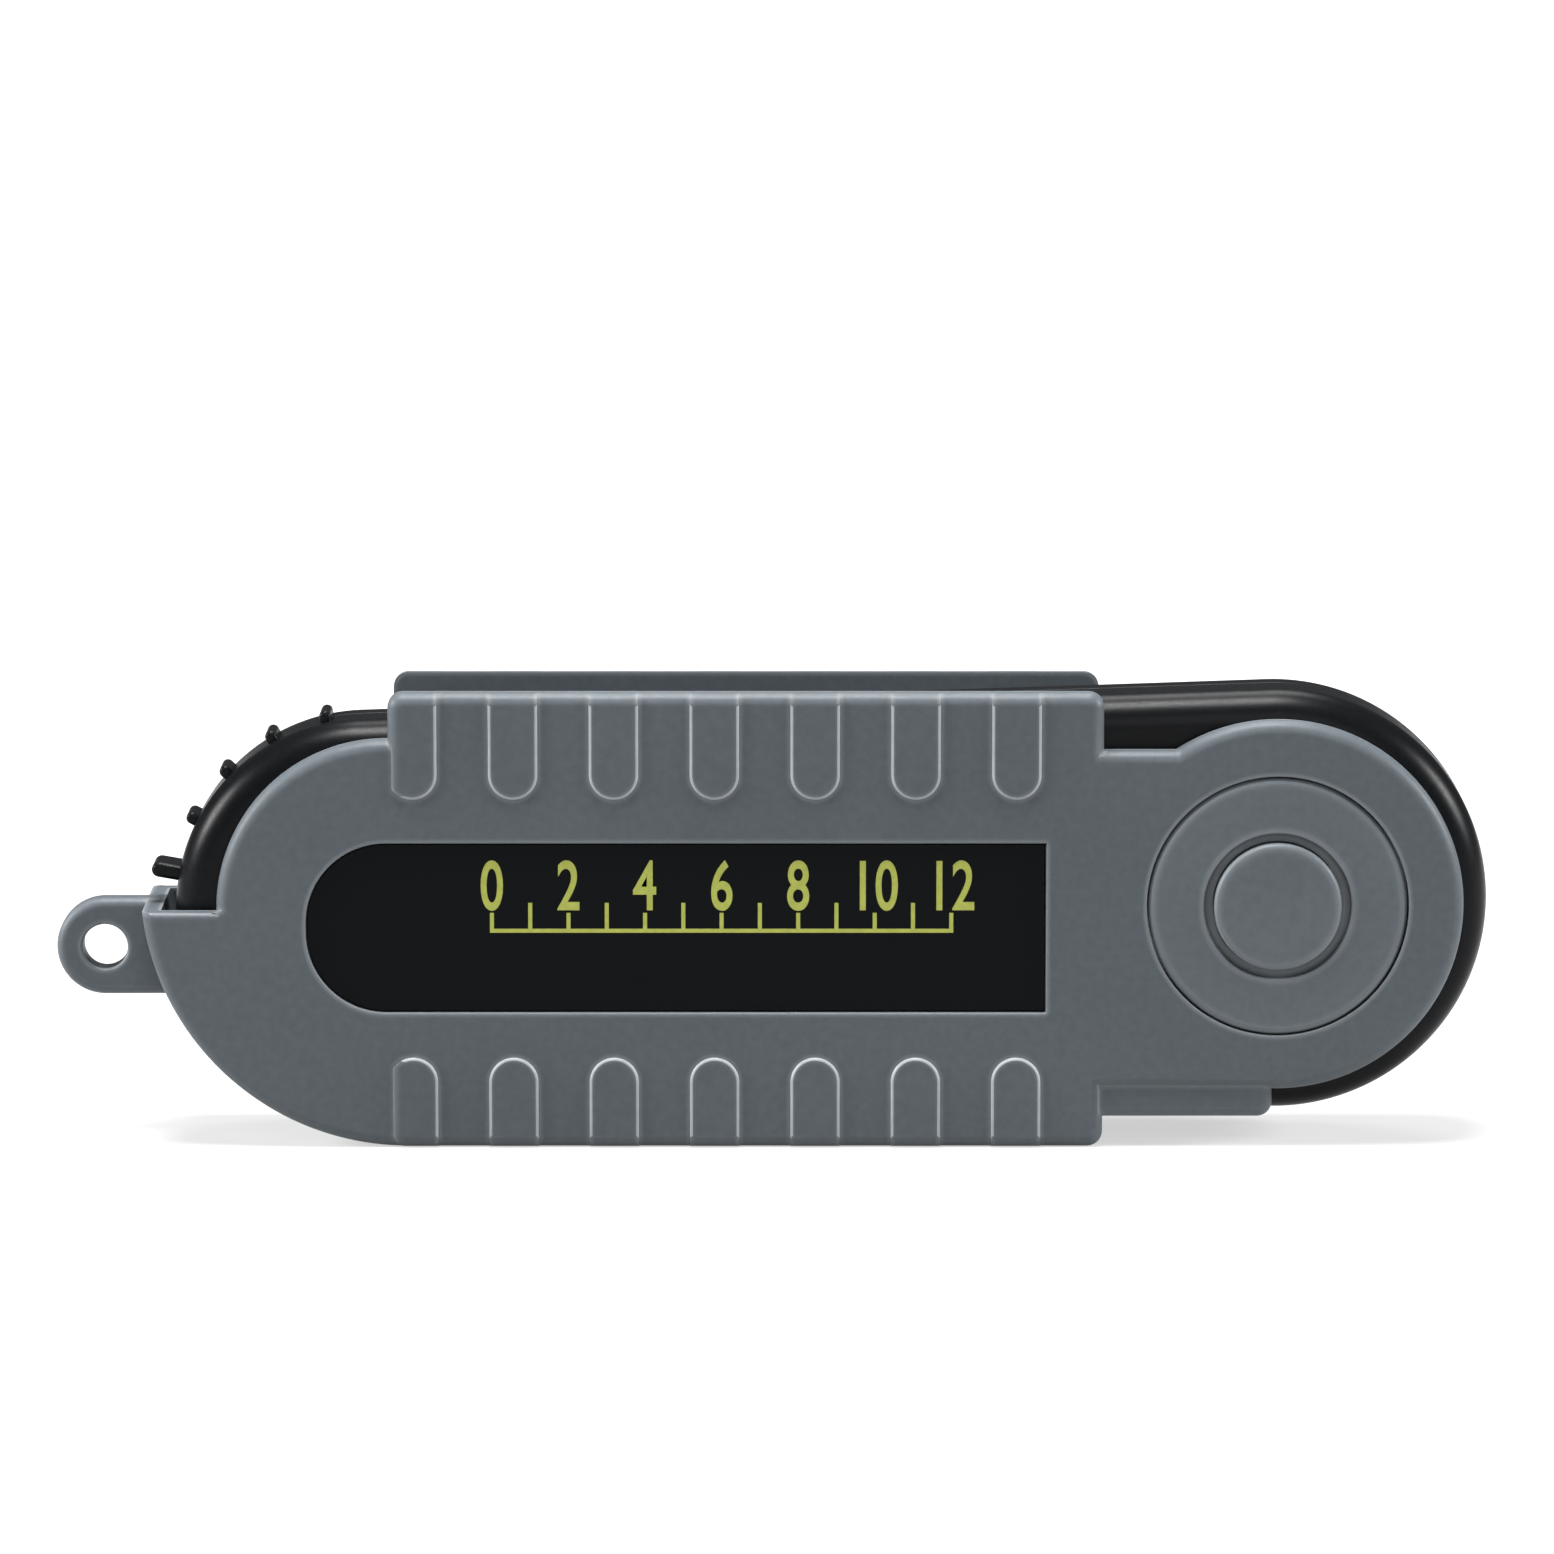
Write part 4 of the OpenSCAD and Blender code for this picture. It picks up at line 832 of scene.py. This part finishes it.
front_case = case_half("front_shell", SPLIT_Z, METER_Z1, METER_Z1, SPLIT_Z - 1, INNER_Z1)
boss_z1 = INNER_Z1 + 0.3
combine(front_case,
        disc("pocket_wall", 0, 0, 17.7, UNDER_FACE, boss_z1),
        disc("cup", 0, 0, 6.4, 8.5, boss_z1, 96),
        discs("post_bosses", POSTS, POST_BOSS_R, SPLIT_Z, boss_z1),
        discs("screw_bosses", CASE_SCREWS, SCREW_BOSS_R, SPLIT_Z, boss_z1),
        discs("board_posts", BOARD_POSTS, BOARD_POST_R, BOARD_Z1, boss_z1))
cut(front_case,
    disc("pocket", 0, 0, POCKET_R, 14.4, 20),
    disc("spring_cup", 0, 0, 5.1, SPRING_Z0, 20, 96),
    discs("post_holes", POSTS, 2.1, 7, 20),
    discs("screw_holes", CASE_SCREWS, 0.9, 7, UNDER_FACE),
    disc("bore", HEAD_X, HEAD_Y, BORE_R, 7, 20),
    over_display("window_seat", -WINDOW_REACH, SEAT_HALF, METER_Z1 - 1, 20),
    over_display("view", 2.6, 9.9, UNDER_FACE, 20),
    discs("key_holes", [(KEYS_X, y) for y in KEY_YS], KEY_HOLE_R, UNDER_FACE, 20, 96),
    disc("grille_hole", GRILLE_X, GRILLE_Y, GRILLE_HOLE_R, UNDER_FACE, 20, 64))
merge_flats(front_case)
round_edges(front_case, in_box(LCD_LEFT - WINDOW_REACH, LCD_RIGHT + WINDOW_REACH, -SEAT_HALF, SEAT_HALF,
                               METER_Z1), 0.2, 2)
for y in KEY_YS:
    round_edges(front_case, on_circle(KEYS_X, y, KEY_HOLE_R, METER_Z1), 0.25, 2)
round_edges(front_case, on_circle(HEAD_X, HEAD_Y, BORE_R, METER_Z1), 0.5, 4)
round_edges(front_case, on_circle(0, 0, POCKET_R, METER_Z1), 0.3, 2)
round_edges(front_case, on_circle(GRILLE_X, GRILLE_Y, GRILLE_HOLE_R, METER_Z1), 0.2, 2)
place(front_case, "meter", "case_plastic", case_abs, "front_case")

DOOR_X = -50
DOOR_R = 13.3
DOOR_SEAT_R = DOOR_R + 0.1
DOOR_Z1 = METER_Z0 + 1.2
RING_R0 = 11.25
RING_Z1 = 5.6
VANE_Z0 = 3.3
VANE_IN_R = 13.2
SCREW_RECESS_R = 1.8
rear_case = case_half("rear_shell", METER_Z0, SPLIT_Z, METER_Z0, INNER_Z0, SPLIT_Z + 1)
boss_z0 = INNER_Z0 - 0.3
combine(rear_case,
        discs("post_bosses", POSTS, POST_BOSS_R, boss_z0, SPLIT_Z),
        discs("screw_bosses", CASE_SCREWS, SCREW_BOSS_R, boss_z0, SPLIT_Z),
        discs("board_posts", BOARD_POSTS, BOARD_POST_R, boss_z0, BOARD_Z0),
        disc("door_ring", DOOR_X, 0, 14.5, boss_z0, RING_Z1, 128))
cut(rear_case,
    disc("door_seat", DOOR_X, 0, DOOR_SEAT_R, 0, DOOR_Z1, 160),
    disc("door_hole", DOOR_X, 0, RING_R0, 0, 20, 128),
    disc("bore", HEAD_X, HEAD_Y, BORE_R, VANE_Z0, 20),
    disc("outlet", HEAD_X, HEAD_Y, VANE_IN_R, 0, 20),
    discs("pivot_screw_holes", POSTS, 1.1, 0, 20),
    discs("screw_recesses", CASE_SCREWS, SCREW_RECESS_R, 0, 3.7),
    discs("screw_holes", CASE_SCREWS, 1, 0, 20))
merge_flats(rear_case)
round_edges(rear_case, on_circle(DOOR_X, 0, DOOR_SEAT_R, METER_Z0), 0.2, 2)
round_edges(rear_case, on_circle(HEAD_X, HEAD_Y, VANE_IN_R, METER_Z0), 0.4, 3)
for x, y in CASE_SCREWS:
    round_edges(rear_case, on_circle(x, y, SCREW_RECESS_R, METER_Z0), 0.15, 2)
place(rear_case, "meter", "case_plastic", case_abs, "rear_case")

# Thumb ribs on the round end: four short ribs and a longer catch, rounded at the tip and set in the middle
# of the thickness, moulded with the case.
RIB_ANGLES = (102, 119, 136, 153)
CATCH_ANGLE = 170
THUMB_Z0 = 6.5
THUMB_Z1 = 11.9
thumb_ribs = []
for angle in (*RIB_ANGLES, CATCH_ANGLE):
    tall, wide = (2.8, 1.5) if angle == CATCH_ANGLE else (1.1, 1.2)
    tip = HEAD_R + tall - wide / 2
    rib = combine(bar("rib", HEAD_R - 0.8, tip, -wide / 2, wide / 2, THUMB_Z0, THUMB_Z1),
                  disc("tip", tip, 0, wide / 2, THUMB_Z0, THUMB_Z1, 32))
    merge_flats(rib)
    for z in (THUMB_Z1, THUMB_Z0):
        round_edges(rib, at_height(z), 0.4, 4)
    thumb_ribs.append(move(rib, HEAD_X, HEAD_Y, turn=angle))
place(join(thumb_ribs, "thumb_ribs"), "meter", "case_plastic", case_abs)


# Case gasket. A thin black silicone strip pressed between the two shells, which shows as the line round the
# side. Silicone: matt, faintly dusty, with a soft skin.
def silicone(name, base):
    material, add, spot = new_material(name)
    dust = add("TexNoise", {"Scale": 700, "Detail": 4, "Roughness": 0.7}, Vector=spot)
    skin = add("TexNoise", {"Scale": 2500, "Detail": 2}, Vector=spot)
    tone = add("MapRange", {"From": (0.35, 0.75), "To": (0.9, 1.25)}, Value=dust)
    body = add("HueSaturation", {"Color": colour(base)}, Value=tone)
    sheen = add("MapRange", {"To": (0.6, 0.85)}, Value=dust)
    bump = add("Bump", {"Strength": 0.4, "Distance": 0.000006}, Height=skin)
    shader = add("BsdfPrincipled", {"IOR": 1.41, "Sheen Weight": 0.1},
                 Base_Color=body, Roughness=sheen, Normal=bump)
    add("OutputMaterial", Surface=shader)
    return material


black_silicone = silicone("black_silicone", "#1c1d1f")
dress(black_silicone, "case_gasket")

# Display. A clear acrylic window glued into the case, over a reflective liquid-crystal cell of two glass
# plates and a grey-green polariser film. Its dark figures are plain numbers, upright when the vane is on top.
WINDOW_GAP = 0.1
WINDOW_Z1 = METER_Z1 - 0.1
BORDER_REACH = 1.2
LCD_X = (LCD_LEFT + LCD_RIGHT) / 2
LCD_Z0 = 11.7
LCD_Z1 = 13.7
GLASS_HALF = 11.5
FIGURE_H = 8.6
FIGURE_W = 4.6
STROKE = 0.95


# Acrylic: water-clear and polished, with a few hair scratches from the cover and the pocket.
def clear_acrylic(name):
    material, add, spot = new_material(name)
    stretch = add("Mapping", {"Rotation": (0, 0.5, 0), "Scale": (60, 1500, 1500)}, Vector=spot)
    hairs = add("TexNoise", {"Scale": 2, "Detail": 5}, Vector=stretch)
    haze = add("MapRange", {"From": (0.6, 0.75), "To": (0.02, 0.07)}, Value=hairs)
    shader = add("BsdfPrincipled", {"Base Color": colour("#f2f5f5"), "IOR": 1.49, "Transmission Weight": 1},
                 Roughness=haze)
    add("OutputMaterial", Surface=shader)
    return material


# The cell's reflector under the polariser: grey-green, with the sparkle of a brushed foil drawn at 0.4 mm.
def display_glass(name, base):
    material, add, spot = new_material(name)
    foil = add("TexNoise", {"Scale": 2500, "Detail": 2}, Vector=spot)
    cloud = add("TexNoise", {"Scale": 120, "Detail": 2}, Vector=spot)
    both = add("Math", {"operation": "MULTIPLY"}, _0=foil, _1=cloud)
    tone = add("MapRange", {"From": (0.12, 0.4), "To": (0.9, 1.12)}, Value=both)
    body = add("HueSaturation", {"Color": colour(base)}, Value=tone)
    sheen = add("MapRange", {"To": (0.12, 0.3)}, Value=cloud)
    add("OutputMaterial", Surface=add("BsdfPrincipled", {"IOR": 1.52}, Base_Color=body, Roughness=sheen))
    return material


acrylic = clear_acrylic("clear_acrylic")
border_print = polished_plastic("black_border_print", "#0a0c0d", 0.25, gloss=0.08)
cell_glass = display_glass("reflective_display", "#98a28c")
segment_dark = screen_ink("dark_segment", "#1d221f")
white_abs = moulded_plastic("white_abs", "#dcdedd", "#e6e7e6", 0.45, grain=0.4, depth=0.006, cloud=0.02)

window = over_display("display_window", WINDOW_GAP - WINDOW_REACH, SEAT_HALF - WINDOW_GAP,
                      METER_Z1 - 1, WINDOW_Z1)
round_edges(window, upright, 0.4, 5)
round_edges(window, at_height(WINDOW_Z1), 0.12, 2)
place(window, "meter", "window_clear", acrylic, "lcd_window")
border = over_display("window_border", -BORDER_REACH, SEAT_HALF - 0.3, WINDOW_Z1, WINDOW_Z1 + INK_T)
round_edges(border, upright, 0.4, 5)
cut(border, over_display("opening", 2.8, 9.7, 0, 20))
round_edges(border, lambda points: upright(points) and abs(points[0].y) < 9.8, 0.5, 5)
place(border, "meter", "window_clear", border_print, smooth=None)

cell = combine(over_display("display_cell", 1, GLASS_HALF, LCD_Z0, LCD_Z0 + 1),
               over_display("front_glass", 1, GLASS_HALF - 1.4, LCD_Z0 + 0.9, LCD_Z1 - 0.2),
               over_display("film", 1.4, GLASS_HALF - 1.8, LCD_Z1 - 0.3, LCD_Z1))
round_edges(cell, upright, 0.1, 2)
place(cell, "meter", "lcd_glass", cell_glass, "lcd_panel")


def seven_segments(text, foot_y, height, width, stroke):
    """Figures of a seven-segment display, one copy of a pointed bar for each stroke that is lit."""
    lit = {"0": "abcdef", "1": "bc", "2": "abged", "5": "afgcd"}
    half = (height - stroke) / 2
    across = width - stroke
    flat, tall = [line("stroke", 0.1 - length / 2, length / 2 - 0.1, -stroke / 2, stroke / 2, LCD_Z1)
                  for length in (across, half)]
    for stock in (flat, tall):
        round_edges(stock, upright, stroke * 0.46, 1)
    places = {"a": (flat, 0, 2, 0), "g": (flat, 0, 1, 0), "d": (flat, 0, 0, 0), "b": (tall, 1, 1.5, 90),
              "c": (tall, 1, 0.5, 90), "f": (tall, -1, 1.5, 90), "e": (tall, -1, 0.5, 90)}
    pitch = width + stroke * 1.3
    strokes = []
    x = -pitch * (len(text.replace(".", "")) - 1) / 2
    for sign in text:
        if sign == ".":
            left = x - pitch / 2 - stroke / 2
            strokes.append(line("point", left, left + stroke, foot_y, foot_y + stroke, LCD_Z1))
            continue
        for name in lit[sign]:
            stock, side, level, turn = places[name]
            y = foot_y + stroke / 2 + level * half
            strokes.append(copy_of(stock, x + side * across / 2, y, turn=turn))
        x += pitch
    bpy.data.objects.remove(flat)
    bpy.data.objects.remove(tall)
    return strokes


strokes = seven_segments("0.0", 1.6, FIGURE_H, FIGURE_W, STROKE)
strokes += seven_segments("21.5", -9.4, FIGURE_H * 0.75, FIGURE_W * 0.75, STROKE * 0.8)
strokes.append(line("line", -8.2, 8.2, -0.75, -0.5, LCD_Z1))
figures = move(join(strokes, "display_figures"), LCD_X, turn=90)
place(figures, "meter", "lcd_glass", segment_dark, smooth=None)
dress(white_abs, "lcd_frame")
dress(black_silicone, "lcd_connectors")


# Circuit board, chip and contacts. Glass-epoxy board under green solder mask, a chip moulded in black epoxy,
# and contacts stamped from gold-plated spring strip. All keep their CAD shape inside the case.
# Solder mask: glossy green, paler where copper tracks 0.4 mm wide run under it.
def solder_mask(name, base, track):
    material, add, spot = new_material(name)
    route = add("TexVoronoi", {"feature": "DISTANCE_TO_EDGE", "Scale": 260, "Randomness": 0.35},
                Vector=spot)
    copper = add("MapRange", {"From": (0.05, 0.09), "To": (1, 0)}, Value=route.outputs["Distance"])
    body = add("Mix", {"data_type": "RGBA", 6: colour(base), 7: colour(track)}, _0=copper)
    weave = add("TexNoise", {"Scale": 1500, "Detail": 2}, Vector=spot)
    sheen = add("MapRange", {"To": (0.2, 0.4)}, Value=weave)
    bump = add("Bump", {"Strength": 0.5, "Distance": 0.00003}, Height=copper)
    shader = add("BsdfPrincipled", {"IOR": 1.55}, Base_Color=body.outputs[2], Roughness=sheen, Normal=bump)
    add("OutputMaterial", Surface=shader)
    return material


epoxy = moulded_plastic("black_epoxy", "#141416", "#2a2a2c", 0.6, grain=0.2, depth=0.01, cloud=0.1)
dress(solder_mask("green_solder_mask", "#14512f", "#2a7a4a"), "circuit_board")
dress(epoxy, "processor_chip")
dress(plated_steel("gold_plated_strip", "#c9a44a", 0.25), "cell_contact", "rim_contact")
dress(plated_steel("nickel_plated_can", "#c3c3c0", 0.22), "coin_cell")

# Keys. Three light grey ABS caps with rounded rims, held up by the domes of a grey silicone mat. Each carries
# a plain printed mark: a ring with a bar, a triangle and two bars.
KEY_R = 3.4
KEY_Z0 = 12.9
KEY_Z1 = 16
MARK_Z0 = KEY_Z1 - 0.05
MARK_Z1 = KEY_Z1 + INK_T
key_abs = moulded_plastic("light_grey_abs", "#8d9399", "#a3a8ad", 0.42, grain=0.3, depth=0.006)
dress(silicone("grey_silicone", "#7a7f84"), "key_mat")

cap = disc("key_cap", 0, 0, KEY_R, KEY_Z0, KEY_Z1, 96)
round_edges(cap, at_height(KEY_Z1), 0.45, 6)
hollow(cap, KEY_Z1, (0.7, 0), (0.9, 0.06))
combine(cap, disc("flange", 0, 0, KEY_R + 0.7, KEY_Z0, KEY_Z0 + 0.9, 96))

power_mark = disc("power_mark", 0, 0, 1.15, MARK_Z0, MARK_Z1, 64)
cut(power_mark, disc("middle", 0, 0, 0.85, 0, 20, 64), bar("gap", -2, 0, -0.4, 0.4, 0, 20))
combine(power_mark, bar("stroke", -1.5, -0.2, -0.15, 0.15, MARK_Z0, MARK_Z1))
mode_mark = disc("mode_mark", 0, 0, 1.2, MARK_Z0, MARK_Z1, 3)
hold_mark = join([bar("hold_mark", -0.9, 0.9, y, y + 0.4, MARK_Z0, MARK_Z1) for y in (-0.65, 0.25)])
for body, y, mark in zip(("power_key", "mode_key", "hold_key"), KEY_YS, (power_mark, mode_mark, hold_mark)):
    key = copy_of(cap, KEYS_X, y)
    key.name = body + "_cap"
    place(key, body, "key_plastic", key_abs, body)
    place(move(mark, KEYS_X, y), body, "key_plastic", segment_dark, smooth=None)
bpy.data.objects.remove(cap)

# Battery door. A black ABS disc turned with a coin, let into the rear case with its face flush. A neck and
# three lugs behind it lock under the ring of the case, on a silicone seal.
NECK_R0 = 10.25
NECK_R1 = 11.15
NECK_Z1 = 6.4
LUG_R = 12
LUG_HALF = 2.5
SLOT_HALF = 7
SLOT_R = 0.8
SLOT_Z1 = METER_Z0 + 0.7
THIRDS = (0, 120, 240)

door = disc("door_plate", DOOR_X, 0, DOOR_R, METER_Z0, DOOR_Z1, 160)
round_edges(door, at_height(METER_Z0), 0.3, 4)
slot_x0 = DOOR_X - SLOT_HALF + SLOT_R
slot_x1 = DOOR_X + SLOT_HALF - SLOT_R
cut(door, combine(discs("slot", [(slot_x0, 0), (slot_x1, 0)], SLOT_R, METER_Z0 - 1, SLOT_Z1),
                  bar("slot_middle", slot_x0, slot_x1, -SLOT_R, SLOT_R, METER_Z0 - 1, SLOT_Z1)))
round_edges(door, in_box(DOOR_X - SLOT_HALF, DOOR_X + SLOT_HALF, -SLOT_R, SLOT_R, METER_Z0), 0.15, 2)
cut(door, disc("pointer", DOOR_X, 10.6, 0.8, METER_Z0 - 1, METER_Z0 + 0.25, 3))
lug = combine(disc("lug", 0, 0, LUG_R, RING_Z1 + 0.1, NECK_Z1, 128),
              bar("width", NECK_R0 + 0.2, LUG_R + 1, -LUG_HALF, LUG_HALF, 0, 20), how="INTERSECT")
neck = combine(disc("neck", DOOR_X, 0, NECK_R1, DOOR_Z1 - 0.3, NECK_Z1, 128),
               *copies(lug, [(DOOR_X, 0, turn) for turn in THIRDS]))
combine(door, cut(neck, disc("inside", DOOR_X, 0, NECK_R0, DOOR_Z1, 20, 128)))
place(door, "door", "case_plastic", case_abs, "battery_door")
dress(black_silicone, "battery_seal")

# Vane ring. A black moulded ring pushed into the bore of the case, with a three-armed spider at each end
# whose hub holds a ruby bearing. The arms are thin and round-edged so that they disturb the air little.
VANE_Z1 = 15.1
VANE_OUT_R = 14.3
SPIDER_T = 1.4
SPIDER_HALF = 0.65
HUB_RING_R = 2.2
JEWEL_R = 1.3

ring = cut(disc("vane_duct", 0, 0, VANE_OUT_R, VANE_Z0, VANE_Z1, 160),
           disc("duct", 0, 0, VANE_IN_R, 0, 20, 160))
for z in (VANE_Z1, VANE_Z0):
    round_edges(ring, on_circle(0, 0, VANE_IN_R, z), 0.5, 4)
for z0 in (VANE_Z0, VANE_Z1 - SPIDER_T):
    z1 = z0 + SPIDER_T
    spider = disc("spider", 0, 0, HUB_RING_R, z0, z1, 64)
    for z in (z1, z0):
        round_edges(spider, at_height(z), 0.35, 3)
    arm = bar("arm", 1.6, VANE_IN_R + 0.5, -SPIDER_HALF, SPIDER_HALF, z0, z1)
    round_edges(arm, lambda points: abs(points[0].x - points[1].x) > 5, 0.3, 3)
    combine(ring, combine(spider, *copies(arm, [(0, 0, turn) for turn in THIRDS])))
cut(ring, disc("jewel_bore", 0, 0, JEWEL_R, 0, 20, 48))
place(move(ring, HEAD_X, HEAD_Y), "meter", "case_plastic", case_abs, "vane_ring")

# Bearings: synthetic ruby, polished, deep red with a bright rim.
dress(polished_plastic("synthetic_ruby", "#8a1c30", 0.06), "front_bearing", "rear_bearing")

# Vane wheel. Eight thin blades moulded with their hub in light grey polystyrene, twisted so that they stand
# steeper at the hub. It turns on a steel shaft between the rubies and carries a small magnet.
HUB_Z0 = 5.9
HUB_Z1 = 12.5
HUB_R = 2.6
BLADE_TIP_R = 12.7
BLADE_COUNT = 8
BLADE_HALF = 3.8
BLADE_T = 0.55
ROOT_ANGLE = 60
TWIST = -22
SHAFT_R = 0.5
MAGNET_R = 1.8
MAGNET_T = 1.4
vane_styrene = moulded_plastic("light_styrene", "#d4d7d8", "#e2e4e4", 0.3, grain=0.5, depth=0.003, cloud=0.03)

blade = bar("blade", 1.2, BLADE_TIP_R + 0.6, -BLADE_HALF, BLADE_HALF, -BLADE_T / 2, BLADE_T / 2)
with edit(blade):
    bpy.ops.mesh.subdivide(number_cuts=11)
twist = blade.modifiers.new("twist", "SIMPLE_DEFORM")
twist.deform_method = "TWIST"
twist.deform_axis = "X"
twist.angle = math.radians(TWIST)
bpy.ops.object.modifier_apply(modifier=twist.name)
move(blade, z=(HUB_Z0 + HUB_Z1) / 2, tilt=ROOT_ANGLE)
combine(blade, disc("sweep", 0, 0, BLADE_TIP_R, HUB_Z0 + 0.2, HUB_Z1 - 0.2), how="INTERSECT")
wheel = disc("vane_wheel", 0, 0, HUB_R, HUB_Z0, HUB_Z1, 96)
round_edges(wheel, at_height(HUB_Z0), 0.8, 6)
round_edges(wheel, at_height(HUB_Z1), 0.4, 4)
combine(wheel, *copies(blade, [(0, 0, i * 360 / BLADE_COUNT) for i in range(BLADE_COUNT)]))
cut(wheel, disc("magnet_seat", 0, 0, MAGNET_R, HUB_Z1 - MAGNET_T, 20, 48),
    disc("shaft_bore", 0, 0, SHAFT_R, 0, 20, 32))
place(move(wheel, HEAD_X, HEAD_Y), "rotor", "vane_plastic", vane_styrene, "impeller")
dress(spring_steel, "impeller_shaft")
dress(plated_steel("ferrite", "#3c3d40", 0.5), "rotor_magnet")

# Sensor and pickup. A bead thermistor under a slotted cap in the front case, and a small coil beside the vane
# duct that hears the magnet go by.
GRILLE_R = 2.2
GRILLE_Z1 = METER_Z1 - 0.2
grille = disc("sensor_cap", GRILLE_X, GRILLE_Y, GRILLE_R, INNER_Z1 + 0.2, GRILLE_Z1, 64)
round_edges(grille, at_height(GRILLE_Z1), 0.25, 3)
cut(grille, *[bar("slot", GRILLE_X - 1.4, GRILLE_X + 1.4, GRILLE_Y + y - 0.25, GRILLE_Y + y + 0.25, 10, 20)
              for y in (-1.1, 0, 1.1)])
place(grille, "meter", "case_plastic", case_abs, "sensor_grille")
dress(epoxy, "thermistor")


# Enamelled copper wire, 0.1 mm thick, wound in even layers, with its turns drawn 0.25 mm apart to show.
def wound_copper(name, base):
    material, add, spot = new_material(name)
    turns = add("TexWave", {"wave_type": "BANDS", "bands_direction": "Z", "Scale": 640, "Distortion": 0.4},
                Vector=spot).outputs["Fac"]
    tone = add("MapRange", {"To": (0.45, 1.1)}, Value=turns)
    body = add("HueSaturation", {"Color": colour(base)}, Value=tone)
    bump = add("Bump", {"Strength": 0.8, "Distance": 0.00006}, Height=turns)
    shader = add("BsdfPrincipled", {"Metallic": 0.9, "Roughness": 0.3, "Coat Weight": 0.5},
                 Base_Color=body, Normal=bump)
    add("OutputMaterial", Surface=shader)
    return material


COIL_X0 = HEAD_X + TUBE_R + 0.2
COIL_X1 = COIL_X0 + 2.2
COIL_Y0 = HEAD_Y - 3
COIL_Y1 = HEAD_Y + 3
COIL_Z1 = BOARD_Z1 + 3
BOBBIN_T = 0.4
winding = bar("coil_winding", COIL_X0 + 0.15, COIL_X1 - 0.15, COIL_Y0 + BOBBIN_T, COIL_Y1 - BOBBIN_T,
              BOARD_Z1 + 0.15, COIL_Z1 - 0.15)
round_edges(winding, lambda points: abs(points[0].y - points[1].y) > 4, 0.7, 6)
place(winding, "meter", "coil_copper", wound_copper("enamelled_copper", "#9c5a2e"), "pickup_coil")
bobbin = bar("coil_bobbin", COIL_X0, COIL_X1, COIL_Y0, COIL_Y0 + BOBBIN_T, BOARD_Z1, COIL_Z1)
round_edges(bobbin, lambda points: abs(points[0].y - points[1].y) > 0.3, 0.3, 4)
place(join([bobbin, copy_of(bobbin, y=COIL_Y1 - COIL_Y0 - BOBBIN_T)]), "meter", "coil_copper", epoxy)
